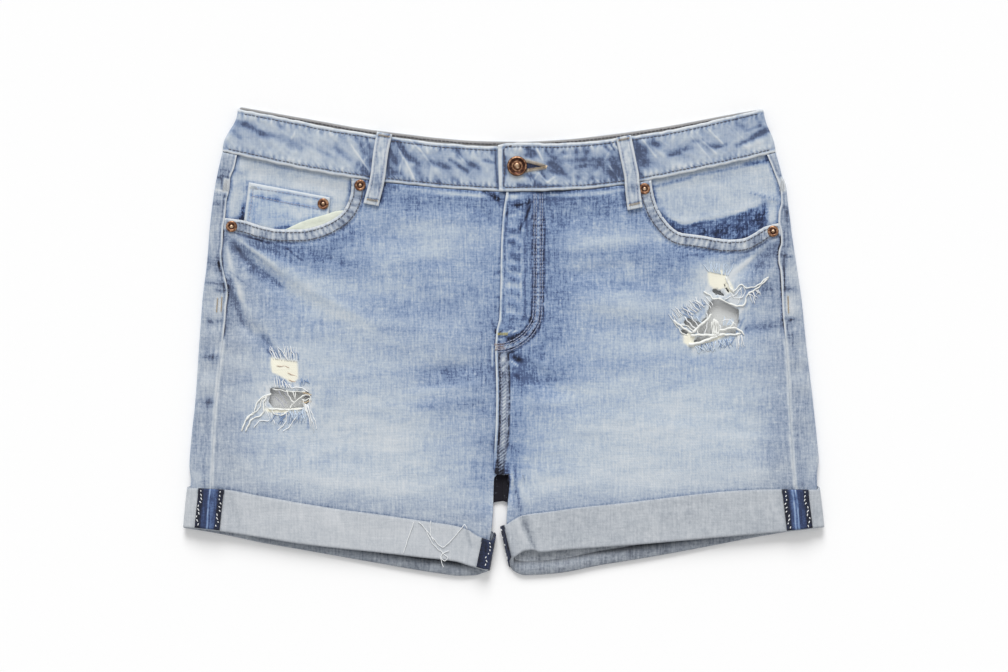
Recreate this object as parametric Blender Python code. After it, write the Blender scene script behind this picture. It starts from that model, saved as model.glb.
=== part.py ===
"""Denim shorts laid flat on their back, built from the pieces that a maker would cut.

Run with: blender --background --python part.py

The garment lies on the plane z = 0 with its front up, its waist towards +Y and its
viewer's right towards +X.  All tables and sizes below are in millimetres.  Each piece
of cloth is a wall worked out from a few edge lines seen from above, and from the
height of its layer, and every piece stands 0.3 mm clear of the next one.
"""
import math

import bmesh
import bpy
import numpy as np

# ---------------------------------------------------------------- driving sizes (mm)
MM = 0.001             # metres in a millimetre
CENTRE = (0.2, 0.13)   # middle of the outline, which is moved to the origin
CLOTH = 1.0            # one layer of denim
SEAM = 0.3             # clear gap between pieces that are sewn together
BAND = 2.2             # waistband: two layers and the turned-in edges
CUFF = 2.2             # one double-rolled cuff
CUFF_WIDTH = 36.0
CUFF_HOOK = 8.0        # how far the cuff's lower fold turns up inside the leg
HEM_CLEAR = 2.2        # from the leg's end to that fold
PANEL_WIDTH = 235.0    # of a front panel, for spacing its columns

# heights of the middle of each layer above the surface (mm)
FRONT = 5.2            # front panels at rest on the back
FRONT_AT_BAND = 5.6
FRONT_AT_CUFF = 5.5
BACK = CLOTH / 2
BACK_AT_CUFF = CUFF + SEAM + CLOTH / 2
BAND_BACK = BAND / 2
BACK_WAIST = 2.5       # how much higher the waist seam lies on the back
BAND_FRONT = FRONT_AT_BAND
BAND_LAP = BAND_FRONT + BAND + SEAM
CUFF_BACK = CUFF / 2
CUFF_FRONT = FRONT_AT_CUFF + CLOTH / 2 + SEAM + CUFF / 2
LAP = CLOTH + 0.45     # rise of the front that laps over the other
FACING_LEFT = 2.2      # deeper, to leave room for the coin pocket and the pocket bag
FACING_RIGHT = 2.6
FACING_AT_BAND = 3.6
FACING_AT_SIDE = 4.1
COIN = FACING_LEFT + CLOTH + SEAM
BAG = COIN + CLOTH + SEAM

# ---------------------------------------------------------------- edge lines
# Lines across the garment: columns x, y
WAIST_SEAM = [(-238.5, 161), (-207, 154), (-173, 146.5), (-139, 140.5), (-105, 135.5),
              (-71, 132), (-37, 129), (0, 127.2), (31, 127.5), (65, 129), (99, 132.5),
              (133, 138.5), (167, 145.5), (201, 153), (231, 160.5)]
BAND_TOP_LEFT = [(-224, 197), (-190, 190.5), (-156, 183.5), (-122, 177.5), (-88, 172.5),
                 (-54, 168.5), (-20, 166), (25, 164.5)]
BAND_TOP_RIGHT = [(-5, 166.5), (8, 168.3), (40, 168), (65, 169), (92, 172), (124.5, 176.5),
                  (158.5, 183), (192.5, 191), (218, 197)]
BAND_TOP_BACK = [(-224, 199.5), (-190, 193.5), (-156, 187.5), (-122, 181.5), (-88, 177),
                 (-54, 173), (-20, 170.5), (14, 170), (48, 171.5), (82, 175), (116, 179.5),
                 (150, 185), (184, 191.5), (218, 197.5)]
CUFF_TOP = {
    "left": [(-268, -123.5), (-235, -125.5), (-207, -130.5), (-173, -136.5), (-139, -142),
             (-105, -146.5), (-71, -151.5), (-41, -156), (-31, -159), (-22, -164.5),
             (-8, -169.5)],
    "right": [(-1.5, -158), (4, -154), (10, -150), (17, -147), (36, -144.5), (65, -140.5),
              (99, -137), (133, -133), (167, -129), (201, -126), (235, -125), (268, -125.5)]}
CUFF_BOTTOM = {
    "left": [(-272, -157.5), (-240, -161), (-207, -166), (-173, -171.5), (-139, -175.5),
             (-105, -179), (-71, -183), (-41, -186.5), (-28, -190.5), (-14, -194.5)],
    "right": [(5.5, -185.5), (12, -181), (18, -177.5), (25, -176.8), (31, -178.6), (48, -177),
              (82, -174.5), (116, -172), (150, -169), (184, -166), (218, -163), (252, -160),
              (272.5, -157)]}
CUFF_BOTTOM_BACK = {
    "left": [(-272, -158), (-240, -163.5), (-207, -170.5), (-173, -176.5), (-139, -182.5),
             (-105, -188.5), (-79.5, -193), (-54, -197), (-37, -199), (-24, -198.5), (-14, -195)],
    "right": [(5.5, -189.5), (10.5, -196), (18.5, -198.5), (31, -198), (48, -196.5), (82, -190),
              (116, -184.5), (150, -178.5), (184, -172), (218, -165.5), (252, -160),
              (272.5, -157.5)]}

# Lines down the garment: columns y, x
OUTLINE = {
    "left": [(197.5, -225.5), (188.5, -230), (182.5, -230.5), (171.5, -236), (161, -238.5),
             (139, -243.5), (117.5, -247), (95, -249.5), (69.5, -251.5), (35.5, -255.5),
             (1.5, -258), (-49.5, -261.5), (-88, -265.5), (-105, -266.5), (-117.5, -265.2),
             (-126, -266), (-157.5, -269.3)],
    "right": [(197, 220.5), (186.5, 224), (179, 225.5), (169.5, 228), (160.5, 231), (139, 236),
              (117.5, 240.5), (93, 244.5), (69.5, 248), (35.5, 253), (1.5, 256.5),
              (-49.5, 262.5), (-88, 266.5), (-100.5, 267.5), (-113.5, 266), (-123.5, 266),
              (-156, 269.5)]}
SIDE_SEAM = {
    "left": [(157.5, -227), (137.5, -231.5), (113.5, -236), (93, -238), (72.5, -239.5),
             (52.5, -234.5), (35.5, -234.5), (14, -237.5), (-24, -241), (-58, -244.5),
             (-92, -246.5), (-123, -247.5), (-159.5, -250.5)],
    "right": [(159, 225), (142.5, 230), (126, 234), (107.5, 234), (86.5, 234.5), (72.5, 233.5),
              (50.5, 235), (27, 236.5), (1.5, 239), (-28.5, 241.5), (-62.5, 243), (-96.5, 245),
              (-123.5, 247.5), (-159.5, 249.5)]}
FLY_EDGE = [(126.5, 2.5), (105, -0.5), (78, -2), (48, -2.5), (20, -3.4), (9, -5.8), (-7, -6.9),
            (-25, -6.4), (-45, -6), (-67, -6.4), (-84, -7.2), (-97, -7.9), (-106, -8.6)]
FRONT_INNER = {
    "left": [(126.5, 15.5), (60, 12), (9, 9), (-37, 9), (-71, 8.5), (-95, 7), (-105, 3.5),
             (-111, -3), (-116, -8), (-122, -8.5), (-143, -9), (-156, -10), (-166, -11.5),
             (-178, -13), (-190, -17)],
    "right": FLY_EDGE + [(-112, -7), (-115.5, -1.5), (-118, 3.5), (-121, 5.2), (-130.5, 4.5),
                         (-143, 3.4), (-152, 2.8), (-158, 3.4), (-166, 4.4), (-178, 7.2), (-190, 11.5)]}
BACK_INNER = {
    "left": [(130, -0.15), (-128, -0.15), (-133.5, -0.8), (-136, -3), (-138.5, -7), (-142, -9),
             (-156, -10), (-166, -11.5), (-178, -13), (-190, -17)],
    "right": [(130, 0.15), (-128, 0.15), (-133.5, 0.5), (-136, 1.5), (-138.5, 3), (-143, 3.4),
              (-152, 2.8), (-158, 3.4), (-166, 4.4), (-178, 7.2), (-190, 11.5)]}
CUFF_ENDS = {          # outermost and innermost x of the cuff: top edge, bottom edge
    "left": ((-268.5, -272.0), (-7.5, -13.0)),
    "right": ((268.5, 272.4), (-1.5, 5.5))}

# Front pocket mouths: columns x, y from the inner end down and out to the side seam
POCKET_MOUTH = {
    "left": [(-129, 146), (-129, 139), (-129, 129), (-131.5, 118.5), (-136.5, 110), (-145, 103.5),
             (-157.5, 98), (-173, 95), (-188.5, 95), (-205.5, 98), (-219.5, 102.5), (-232, 104.3),
             (-252, 106)],
    "right": [(125, 146), (125.5, 135), (127.2, 124.5), (131, 113), (136.5, 104), (143.5, 96.2),
              (150, 92.2), (159, 91), (170.5, 89.4), (181, 87.4), (192.5, 86.4), (203.5, 87.4),
              (212.9, 92), (221.5, 97.3), (232.5, 100.2), (252, 103)]}
FACING_BOTTOM = {
    "left": [(-245, 84), (-205, 78), (-173, 76), (-145, 84), (-112, 104)],
    "right": [(112, 104), (145, 84), (175, 72), (200, 69), (245, 80)]}
FACING_INNER = {"left": -114.0, "right": 112.0}
COIN_TOP = [(-217, 135.3), (-146.5, 122)]
COIN_BOTTOM_Y = 84.0
COIN_SIDES = [(135, -216, -146.5), (84, -222.5, -149.5)]     # y, outer x, inner x
BAG_TOP = [(-187, 94), (-168.5, 102.5), (-151.5, 107.5), (-139, 111), (-128, 111.5)]
BAG_ENDS, BAG_DEPTH = (-187.0, -128.0), 16.0

# ---------------------------------------------------------------- folds and holes
# Soft ridges (+) and troughs (-) of the front: x0, y0, x1, y1, half width, height
FOLDS = [
    (-232, 84, -192, 52, 8, -1.7), (-218, 82, -176, 55, 7, 1.2), (-176, 55, -112, 16, 11, 0.9),
    (-206, 52, -150, 22, 9, -1.1), (-231, 50, -222, 16, 7, -1.6), (-222, 16, -206, 2, 7, -1.2),
    (-208, 10, -194, -14, 6, -1.0), (-216, 30, -205, 0, 7, 0.9), (-120, 96, -60, 80, 14, -0.7),
    (-100, 40, -30, 22, 16, -0.9), (-90, 8, -25, -8, 15, 0.8), (-60, -30, -14, -16, 12, -1.0),
    (-75, -62, -16, -40, 14, 0.8), (-190, -70, -120, -92, 18, -0.7), (-170, -25, -90, -55, 22, 0.6),
    (36, 112, 74, 104, 12, -0.7), (44, 60, 120, 52, 13, -0.9), (60, 34, 135, 26, 12, 0.8),
    (82, 14, 150, 6, 12, -0.9), (14, -14, 62, -52, 12, -1.2), (18, -40, 80, -74, 15, 0.9),
    (112, 72, 190, 60, 12, 0.6), (236, 80, 192, 56, 8, -1.2), (230, 64, 186, 40, 8, 0.9),
    (226, 30, 160, -16, 16, -0.8), (90, -60, 190, -96, 22, 0.7), (200, -40, 226, -110, 14, -0.8)]
# Worn-through holes, each an oval: side, x, y, half length, half height, tilt in degrees
HOLES = [
    ("left", -181, -46.5, 16.5, 5.6, 0), ("left", -186, -52, 11.5, 4.2, -4),
    ("right", 186, 25.5, 10.5, 9.5, 25), ("right", 172, 24, 8.5, 8.0, 35),
    ("right", 189, 15.5, 9.0, 4.2, 15), ("right", 157, 13.5, 9.0, 5.0, 20),
    ("right", 168, 3.5, 9.5, 3.8, 12), ("right", 192.5, 7.5, 3.6, 2.8, 0)]

# ---------------------------------------------------------------- small hardware
# Rivets: name, x, y, height of the cloth's middle under it
RIVETS = [("rivet_left_side", -230.5, 97.5, "front"), ("rivet_left_inner", -121.5, 132.5, "front"),
          ("rivet_coin", -153, 116.8, "coin"), ("rivet_right_inner", 119.5, 129.5, "front"),
          ("rivet_right_side", 228.5, 93.5, "front")]
RIVET_CLEAR = 0.15     # extra room under a rivet, where the cloth is not level
RIVET_PROFILE = [(0, 0), (4.9, 0), (4.9, 0.5), (4.3, 1.0), (3.0, 1.3), (2.2, 0.9), (1.4, 0.9),
                 (1.1, 1.5), (0, 1.7)]                        # radius, height
BUTTON_AT = (11.5, 148.5)
BUTTON_PROFILE = [(0, -2.2), (2.2, -2.2), (2.2, 0.3), (7.6, 0.3), (8.5, 0.9), (8.5, 1.5),
                  (7.8, 2.5), (6.9, 2.7), (5.8, 2.1), (3.3, 1.8), (2.7, 2.4), (1.5, 2.9), (0, 3.0)]
BUTTONHOLE = (11.5, 37.0, 2.9, 0.9)      # from x, to x, radius of its round end, half slot
LAP_START, LAP_END = 62.0, 34.0          # x where the upper band end starts and ends its rise
BAND_LEFT_END, BAND_RIGHT_END = 27.0, -4.8
# Belt loops: name, top x, top y, bottom x, bottom y
BELT_LOOPS = [("belt_loop_left", -100.8, 176.6, -112.3, 116.0),
              ("belt_loop_right", 99.3, 173.3, 111.5, 112.5)]
LOOP_WIDTH, LOOP_CLOTH, LOOP_ARCH = 12.0, 1.5, 1.0
TAB_STATIONS = (84, 10)                  # of a cuff's ring: along the front, round each end
# Seam tabs on the cuffs: name, side, first and last of those stations
TABS = [("cuff_tab_left_outer", "left", 2, 9), ("cuff_tab_left_inner", "left", 80, 90),
        ("cuff_tab_right_outer", "right", 2, 9), ("cuff_tab_right_inner", "right", 85, 90)]

# ---------------------------------------------------------------- materials
# name: red, green, blue, roughness, metallic
FINISHES = {"denim": (0.46, 0.56, 0.72, 0.9, 0.0), "denim_dark": (0.20, 0.28, 0.48, 0.9, 0.0),
            "denim_inside": (0.52, 0.54, 0.57, 0.95, 0.0), "indigo": (0.04, 0.06, 0.16, 0.9, 0.0),
            "pocketing": (0.78, 0.73, 0.62, 0.95, 0.0), "copper": (0.42, 0.20, 0.12, 0.4, 0.9)}


# ---------------------------------------------------------------- maths
def smooth(table, at):
    """Monotone cubic line through a table's first two columns, straight past its ends."""
    rows = sorted(table)
    xs = np.array([row[0] for row in rows], float)
    ys = np.array([row[1] for row in rows], float)
    step = np.diff(xs)
    rise = np.diff(ys) / step
    slope = np.zeros(len(xs))
    slope[0], slope[-1] = rise[0], rise[-1]
    same = rise[:-1] * rise[1:] > 0
    a, b = 2 * step[1:] + step[:-1], step[1:] + 2 * step[:-1]
    safe = np.where(same, rise[:-1] * rise[1:], 1.0)
    slope[1:-1] = np.where(same, (a + b) * safe / (a * rise[1:] + b * rise[:-1] + (~same)), 0.0)
    at = np.asarray(at, float)
    i = np.clip(np.searchsorted(xs, at) - 1, 0, len(step) - 1)
    t = np.clip((at - xs[i]) / step[i], 0, 1)
    h = step[i]
    inside = ((2 * t**3 - 3 * t**2 + 1) * ys[i] + (t**3 - 2 * t**2 + t) * h * slope[i]
              + (3 * t**2 - 2 * t**3) * ys[i + 1] + (t**3 - t**2) * h * slope[i + 1])
    before = np.minimum(at - xs[0], 0) * slope[0]
    after = np.maximum(at - xs[-1], 0) * slope[-1]
    return inside + before + after


def ramp(t):
    """0 to 1, level at both ends."""
    t = np.clip(t, 0, 1)
    return t * t * (3 - 2 * t)


def mix(a, b, t):
    return a * (1 - t) + b * t


def spread(u, v, outer, inner, top, bottom):
    """Points seen from above: u runs outer to inner edge, v runs top to bottom edge."""
    y = mix(150.0, -165.0, v) + 0 * u
    for _ in range(12):
        x = mix(outer(y), inner(y), u)
        y = mix(top(x), bottom(x), v)
    return x, y


# ---------------------------------------------------------------- heights of the layers
def folds(x, y):
    total = np.zeros(np.broadcast(x, y).shape)
    for x0, y0, x1, y1, half, height in FOLDS:
        dx, dy = x1 - x0, y1 - y0
        along = ((x - x0) * dx + (y - y0) * dy) / (dx * dx + dy * dy)
        near = np.clip(along, 0, 1)
        off = np.hypot(x - x0 - near * dx, y - y0 - near * dy)
        total = total + height * np.exp(-(off / half) ** 2) * (0.55 + 0.45 * np.sin(math.pi * near))
    return total


def pocket_rise(x, y):
    """The fronts stand higher over the pockets' layers."""
    left = 1.1 * np.exp(-((x + 160) / 52) ** 4 - ((y - 92) / 34) ** 4)
    right = 0.4 * np.exp(-((x - 185) / 50) ** 4 - ((y - 88) / 30) ** 4)
    return left + right


def crotch_dip(x, y):
    """The fronts come down to the back where the two legs part."""
    return 2.9 * np.exp(-(x / 22) ** 2) * ramp((-60 - y) / 50)


def cuff_top(side, x):
    return smooth(CUFF_TOP[side], x)


def front_height(side, x, y):
    """Middle of a front panel, its lap and turned-down inner edge left out."""
    near_band = ramp((y - smooth(WAIST_SEAM, x) + 22) / 20)
    near_cuff = ramp((cuff_top(side, x) + 44 - y) / 42)
    near_side = ramp((np.abs(x - smooth(SIDE_SEAM[side], y)) - 2) / 12)
    body = FRONT + pocket_rise(x, y) + folds(x, y) * near_side - crotch_dip(x, y)
    return mix(mix(body, FRONT_AT_BAND + 0 * x, near_band), FRONT_AT_CUFF + 0 * x, near_cuff)


def back_height(side, x, y):
    top = smooth(CUFF_BOTTOM_BACK[side], x) + CUFF_WIDTH
    return mix(BACK, BACK_AT_CUFF, ramp((top + 36 - y) / 34))


def inseam_back(side, x, y):
    """Height of the back panel's inner edge, which turns up to the inseam below the crotch."""
    middle = (FRONT_AT_CUFF + BACK_AT_CUFF) / 2
    return mix(back_height(side, x, y), middle - (CLOTH + SEAM) / 2, ramp((-137 - y) / 18))


ROUND = 8.0            # width over which the inseam edges round off


def rounding(distance):
    return np.sqrt(np.clip(1 - (1 - np.clip(distance / ROUND, 0, 1)) ** 2, 0, 1))


def front_panel_height(side, x, y):
    height = front_height(side, x, y)
    inner = smooth(FRONT_INNER[side], y)
    if side == "right":
        lap = ramp((x - smooth(FLY_EDGE, y) - 38) / -20) * ramp((y + 126) / 12)
        height = height + LAP * lap
    edge = inseam_back(side, inner, y) + CLOTH + SEAM
    drop = (1 - rounding(np.abs(x - inner))) * ramp((-114 - y) / 14)
    return mix(height, edge, drop)


def facing_height(side, x, y):
    seam = smooth(WAIST_SEAM, x)
    near_band = ramp((y - seam + 13) / 11)
    beside = np.abs(x - smooth(SIDE_SEAM[side], y))
    near_side = ramp((15 - beside) / 13) * ramp((y - 88) / 12)
    low = FACING_LEFT if side == "left" else FACING_RIGHT
    return mix(mix(low, FACING_AT_SIDE, near_side), FACING_AT_BAND, near_band)


# ---------------------------------------------------------------- mesh builders
def make_object(name, points, faces, finish, flat=False):
    shifted = (np.asarray(points, float) - (CENTRE[0], CENTRE[1], 0)) * MM
    mesh = bpy.data.meshes.new(name)
    mesh.from_pydata([tuple(p) for p in shifted], [], faces)
    shape = bmesh.new()
    shape.from_mesh(mesh)
    bmesh.ops.recalc_face_normals(shape, faces=shape.faces)
    shape.to_mesh(mesh)
    shape.free()
    if not flat:
        mesh.shade_smooth()
        mesh.set_sharp_from_angle(angle=math.radians(40))
    mesh.materials.append(material(finish))
    thing = bpy.data.objects.new(name, mesh)
    bpy.context.scene.collection.objects.link(thing)
    return thing


def material(finish):
    if finish in bpy.data.materials:
        return bpy.data.materials[finish]
    red, green, blue, roughness, metallic = FINISHES[finish]
    made = bpy.data.materials.new(finish)
    made.use_nodes = True
    shader = made.node_tree.nodes["Principled BSDF"]
    shader.inputs["Base Color"].default_value = (red, green, blue, 1)
    shader.inputs["Roughness"].default_value = roughness
    shader.inputs["Metallic"].default_value = metallic
    return made


def grid_faces(rows, columns, first):
    corners = [first + i * columns + j for i in range(rows - 1) for j in range(columns - 1)]
    return [(a, a + 1, a + columns + 1, a + columns) for a in corners]


def sheet(name, grid, thick, finish):
    """Closed wall round a grid of middle points, rows by columns by xyz."""
    grid = np.asarray(grid, float)
    rows, columns = grid.shape[:2]
    down = np.gradient(grid, axis=0)
    across = np.gradient(grid, axis=1)
    normal = np.cross(across, down)
    normal /= np.linalg.norm(normal, axis=2, keepdims=True)
    outer = (grid + normal * thick / 2).reshape(-1, 3)
    inner = (grid - normal * thick / 2).reshape(-1, 3)
    count = rows * columns
    faces = grid_faces(rows, columns, 0) + grid_faces(rows, columns, count)
    rim = ([(0, j) for j in range(columns)] + [(i, columns - 1) for i in range(1, rows)]
           + [(rows - 1, j) for j in range(columns - 2, -1, -1)]
           + [(i, 0) for i in range(rows - 2, 0, -1)])
    ring = [i * columns + j for i, j in rim]
    for a, b in zip(ring, ring[1:] + ring[:1]):
        faces.append((a, b, b + count, a + count))
    return make_object(name, np.vstack([outer, inner]), faces, finish)


def sweep(name, tops, bottoms, normals, profile, closed, finish):
    """Carry a closed profile along stations; profile columns: from edge, distance, out."""
    tops, bottoms, normals = (np.asarray(a, float) for a in (tops, bottoms, normals))
    up = tops - bottoms
    up /= np.linalg.norm(up, axis=1, keepdims=True)
    points = []
    for edge, distance, out in profile:
        base = tops - up * distance if edge == "top" else bottoms + up * distance
        points.append(base + normals * out)
    points = np.stack(points, axis=1)
    stations, sides = points.shape[:2]
    faces = []
    for i in range(stations if closed else stations - 1):
        k = (i + 1) % stations
        for j in range(sides):
            m = (j + 1) % sides
            faces.append((i * sides + j, i * sides + m, k * sides + m, k * sides + j))
    if not closed:
        faces.append(tuple(range(sides)))
        faces.append(tuple((stations - 1) * sides + j for j in range(sides)))
    return make_object(name, points.reshape(-1, 3), faces, finish)


def turned(name, profile, x, y, z, sides, finish):
    """Solid of revolution about a vertical axis; the profile runs from axis to axis."""
    points = []
    rings = []
    for radius, height in profile:
        if radius == 0:
            rings.append([len(points)])
            points.append((x, y, z + height))
            continue
        angles = [2 * math.pi * k / sides for k in range(sides)]
        rings.append(list(range(len(points), len(points) + sides)))
        points += [(x + radius * math.cos(a), y + radius * math.sin(a), z + height) for a in angles]
    faces = []
    for low, high in zip(rings, rings[1:]):
        for k in range(sides):
            m = (k + 1) % sides
            face = [low[k % len(low)], low[m % len(low)], high[m % len(high)], high[k % len(high)]]
            faces.append(tuple(dict.fromkeys(face)))
    return make_object(name, points, faces, finish)


def prism(name, outline, low, high):
    """Cutter: an outline seen from above, drawn up through the cloth."""
    area = sum(a[0] * b[1] - b[0] * a[1] for a, b in zip(outline, outline[1:] + outline[:1]))
    if area < 0:
        outline = outline[::-1]
    count = len(outline)
    points = [(x, y, low) for x, y in outline] + [(x, y, high) for x, y in outline]
    faces = [tuple(range(count))[::-1], tuple(range(count, 2 * count))]
    faces += [(k, (k + 1) % count, count + (k + 1) % count, count + k) for k in range(count)]
    cutter = make_object(name, points, faces, "denim", flat=True)
    cutter.hide_render = True
    cutter.display_type = "WIRE"
    return cutter


def cut(thing, cutter):
    change = thing.modifiers.new("cut by " + cutter.name, "BOOLEAN")
    change.operation = "DIFFERENCE"
    change.solver = "EXACT"
    change.object = cutter
    cutter.parent = thing


def oval(x, y, half_length, half_height, tilt, count=18):
    turn = math.radians(tilt)
    points = []
    for k in range(count):
        a = 2 * math.pi * k / count
        dx, dy = half_length * math.cos(a), half_height * math.sin(a)
        points.append((x + dx * math.cos(turn) - dy * math.sin(turn),
                       y + dx * math.sin(turn) + dy * math.cos(turn)))
    return points


# ---------------------------------------------------------------- panels
EDGE_STEPS = np.array([0, 0.8, 3.0, 8.0])            # columns where an inseam edge rounds off
INNER_CLEAR = 20.0                                   # from the last even column to that edge
FRONT_COLUMNS = 18
BACK_COLUMNS = 9
TURN_STEPS = 6                                       # columns round a side edge
CUTTER = (1.5, 12.0)                                 # heights between which a cutter works
MOUTH_TOP = 175.0                                    # y where a mouth's cutter closes
# rows from waist to hem, closest together past the crotch
ROW_PLACES = np.concatenate([np.linspace(0, 0.74, 15), np.linspace(0.765, 0.88, 8),
                             np.linspace(0.915, 1, 3)])


def front_panel(side):
    gap = SEAM / 2 * (1 if side == "left" else -1)
    u = np.concatenate([np.linspace(0, 1 - INNER_CLEAR / PANEL_WIDTH, FRONT_COLUMNS),
                        1 - EDGE_STEPS[::-1] / PANEL_WIDTH])
    u, v = np.meshgrid(u, ROW_PLACES)
    x, y = spread(u, v, lambda y: smooth(SIDE_SEAM[side], y) + gap,
                  lambda y: smooth(FRONT_INNER[side], y),
                  lambda x: smooth(WAIST_SEAM, x) - SEAM,
                  lambda x: smooth(CUFF_BOTTOM[side], x) + CUFF_HOOK + HEM_CLEAR)
    z = front_panel_height(side, x, y)
    panel = sheet("front_panel_" + side, np.stack([x, y, z], axis=2), CLOTH, "denim")
    cut(panel, prism("mouth_cutter_" + side, mouth_outline(side), *CUTTER))
    for k, (hole_side, *place) in enumerate(HOLES):
        if hole_side == side:
            cut(panel, prism("hole_cutter_%d" % k, oval(*place), *CUTTER))
    return panel


def mouth_outline(side):
    """Pocket mouth, closed well above the waist seam and outside the side seam."""
    line = POCKET_MOUTH[side]
    far = np.cumsum([0] + [math.dist(a, b) for a, b in zip(line, line[1:])])
    places = np.linspace(0, far[-1], 34)
    xs = smooth([(d, p[0]) for d, p in zip(far, line)], places)
    ys = smooth([(d, p[1]) for d, p in zip(far, line)], places)
    ends = [(xs[-1], MOUTH_TOP), (xs[0], MOUTH_TOP)]
    return [(float(a), float(b)) for a, b in zip(xs, ys)] + ends


def back_panel(side):
    """From the centre seam along the surface, round the side edge and over to the side seam."""
    out = -1 if side == "left" else 1
    sections = [back_section(side, out, row) for row in ROW_PLACES]
    return sheet("back_panel_" + side, sections, CLOTH, "denim_dark")


def edge_point(side, row, x_at, on_front):
    """One row's point on the upper or the lower layer, where x follows x_at(y)."""
    hem = CUFF_BOTTOM[side] if on_front else CUFF_BOTTOM_BACK[side]
    rise = -SEAM if on_front else BACK_WAIST
    y = mix(150.0, -165.0, row)
    for _ in range(12):
        x = x_at(y)
        y = mix(smooth(WAIST_SEAM, x) + rise, smooth(hem, x) + CUFF_HOOK + HEM_CLEAR, row)
    return float(x), float(y)


def back_section(side, out, row):
    section = []
    edge_x, edge_y = edge_point(side, row, lambda y: smooth(OUTLINE[side], y), False)
    high = float(front_height(side, edge_x, edge_y))
    low = float(back_height(side, edge_x, edge_y))
    radius = (high - low) / 2

    def turn_at(y):
        return smooth(OUTLINE[side], y) - out * (radius + CLOTH / 2)

    edge_x, edge_y = edge_point(side, row, turn_at, False)
    top_x, top_y = edge_point(side, row, turn_at, True)
    inner_x, inner_y = edge_point(side, row, lambda y: smooth(BACK_INNER[side], y), False)
    width = abs(edge_x - inner_x)
    steps = np.concatenate([EDGE_STEPS / width, np.linspace(0.12, 1, BACK_COLUMNS)])
    for s in steps:
        x, y = edge_point(side, row, lambda y, s=s: mix(
            smooth(BACK_INNER[side], y), turn_at(y), s), False)
        turn_up = (1 - rounding(s * width)) * ramp((-137 - y) / 12)
        z = mix(back_height(side, x, y), inseam_back(side, x, y), turn_up)
        section.append((x, y, float(z)))
    for k in range(1, TURN_STEPS):
        angle = math.pi * k / TURN_STEPS
        share = (1 - math.cos(angle)) / 2
        x = mix(edge_x, top_x, share) + out * radius * math.sin(angle)
        section.append((x, mix(edge_y, top_y, share), mix(low, high, share)))
    for s in (0.0, 0.5, 1.0):
        x, y = edge_point(side, row, lambda y, s=s: mix(
            turn_at(y), smooth(SIDE_SEAM[side], y) + out * SEAM / 2, s), True)
        section.append((x, y, float(front_height(side, x, y))))
    return section


# ---------------------------------------------------------------- waistband
BAND_PROFILE = [("bottom", 0.6, -1.1), ("bottom", 0, -0.5), ("bottom", 0, 0.5),
                ("bottom", 0.6, 1.1), ("top", 0.7, 1.1), ("top", 0, 0.5), ("top", 0, -0.5),
                ("top", 0.7, -1.1)]


def band_front_points(side, x_top, x_bottom):
    top_line = BAND_TOP_LEFT if side == "left" else BAND_TOP_RIGHT
    top = (x_top, float(smooth(top_line, x_top)))
    bottom = (x_bottom, float(smooth(WAIST_SEAM, x_bottom)))
    return top, bottom


def band_back_points(x_top, x_bottom):
    top = (x_top, float(smooth(BAND_TOP_BACK, x_top)))
    bottom = (x_bottom, float(smooth(WAIST_SEAM, x_bottom)) + BACK_WAIST + SEAM)
    return top, bottom


def waistband():
    """One open strip: button end, left front, round the back, right front, upper end."""
    radius = (BAND_FRONT - BAND_BACK) / 2
    middle = (BAND_FRONT + BAND_BACK) / 2
    inset = radius + BAND / 2
    ends = {"left": (-225.5 + inset, -238.5 + inset), "right": (220.5 - inset, 231 - inset)}
    stations = []

    def add(points, height, normal):
        (tx, ty), (bx, by) = points
        stations.append(((tx, ty, height), (bx, by, height), normal))

    for s in np.linspace(0, 1, 17):
        xs = (mix(BAND_LEFT_END, ends["left"][0], s), mix(BAND_LEFT_END, ends["left"][1], s))
        add(band_front_points("left", *xs), BAND_FRONT, (0, 0, 1))
    add_band_turn(stations, "left", ends["left"], radius, middle, True)
    for s in np.linspace(0, 1, 18):
        xs = (mix(ends["left"][0], ends["right"][0], s), mix(ends["left"][1], ends["right"][1], s))
        add(band_back_points(*xs), BAND_BACK, (0, 0, -1))
    add_band_turn(stations, "right", ends["right"], radius, middle, False)
    for s in np.linspace(0, 1, 20):
        xs = (mix(ends["right"][0], BAND_RIGHT_END, s), mix(ends["right"][1], BAND_RIGHT_END + 1, s))
        rise = float(ramp((LAP_START - xs[0]) / (LAP_START - LAP_END)))
        add(band_front_points("right", *xs), mix(BAND_FRONT, BAND_LAP, rise), (0, 0, 1))
    tops, bottoms, normals = zip(*stations)
    band = sweep("waistband", tops, bottoms, normals, BAND_PROFILE, False, "denim")
    cut(band, prism("buttonhole_cutter", keyhole(), BAND_LAP - BAND / 2 - 0.15, BAND_LAP + 3))
    return band


def add_band_turn(stations, side, ends, radius, middle, downwards):
    out = -1 if side == "left" else 1
    front = band_front_points(side, *ends)
    back = band_back_points(*ends)
    steps = [math.pi * k / TURN_STEPS for k in range(1, TURN_STEPS)]
    for angle in steps if downwards else steps[::-1]:
        share = (1 - math.cos(angle)) / 2          # 0 at the front, 1 at the back
        height = middle + radius * math.cos(angle)
        push = out * radius * math.sin(angle)
        top = (mix(front[0][0], back[0][0], share) + push, mix(front[0][1], back[0][1], share), height)
        bottom = (mix(front[1][0], back[1][0], share) + push,
                  mix(front[1][1], back[1][1], share), height)
        stations.append((top, bottom, (out * math.sin(angle), 0, math.cos(angle))))


def keyhole():
    start, end, radius, half = BUTTONHOLE
    y = BUTTON_AT[1]
    first = math.asin(half / radius)
    arc = [first + (2 * math.pi - 2 * first) * k / 14 for k in range(15)]
    points = [(start + radius * math.cos(a), y + radius * math.sin(a)) for a in arc]
    return points + [(end, y - half), (end + half, y), (end, y + half)]


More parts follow.
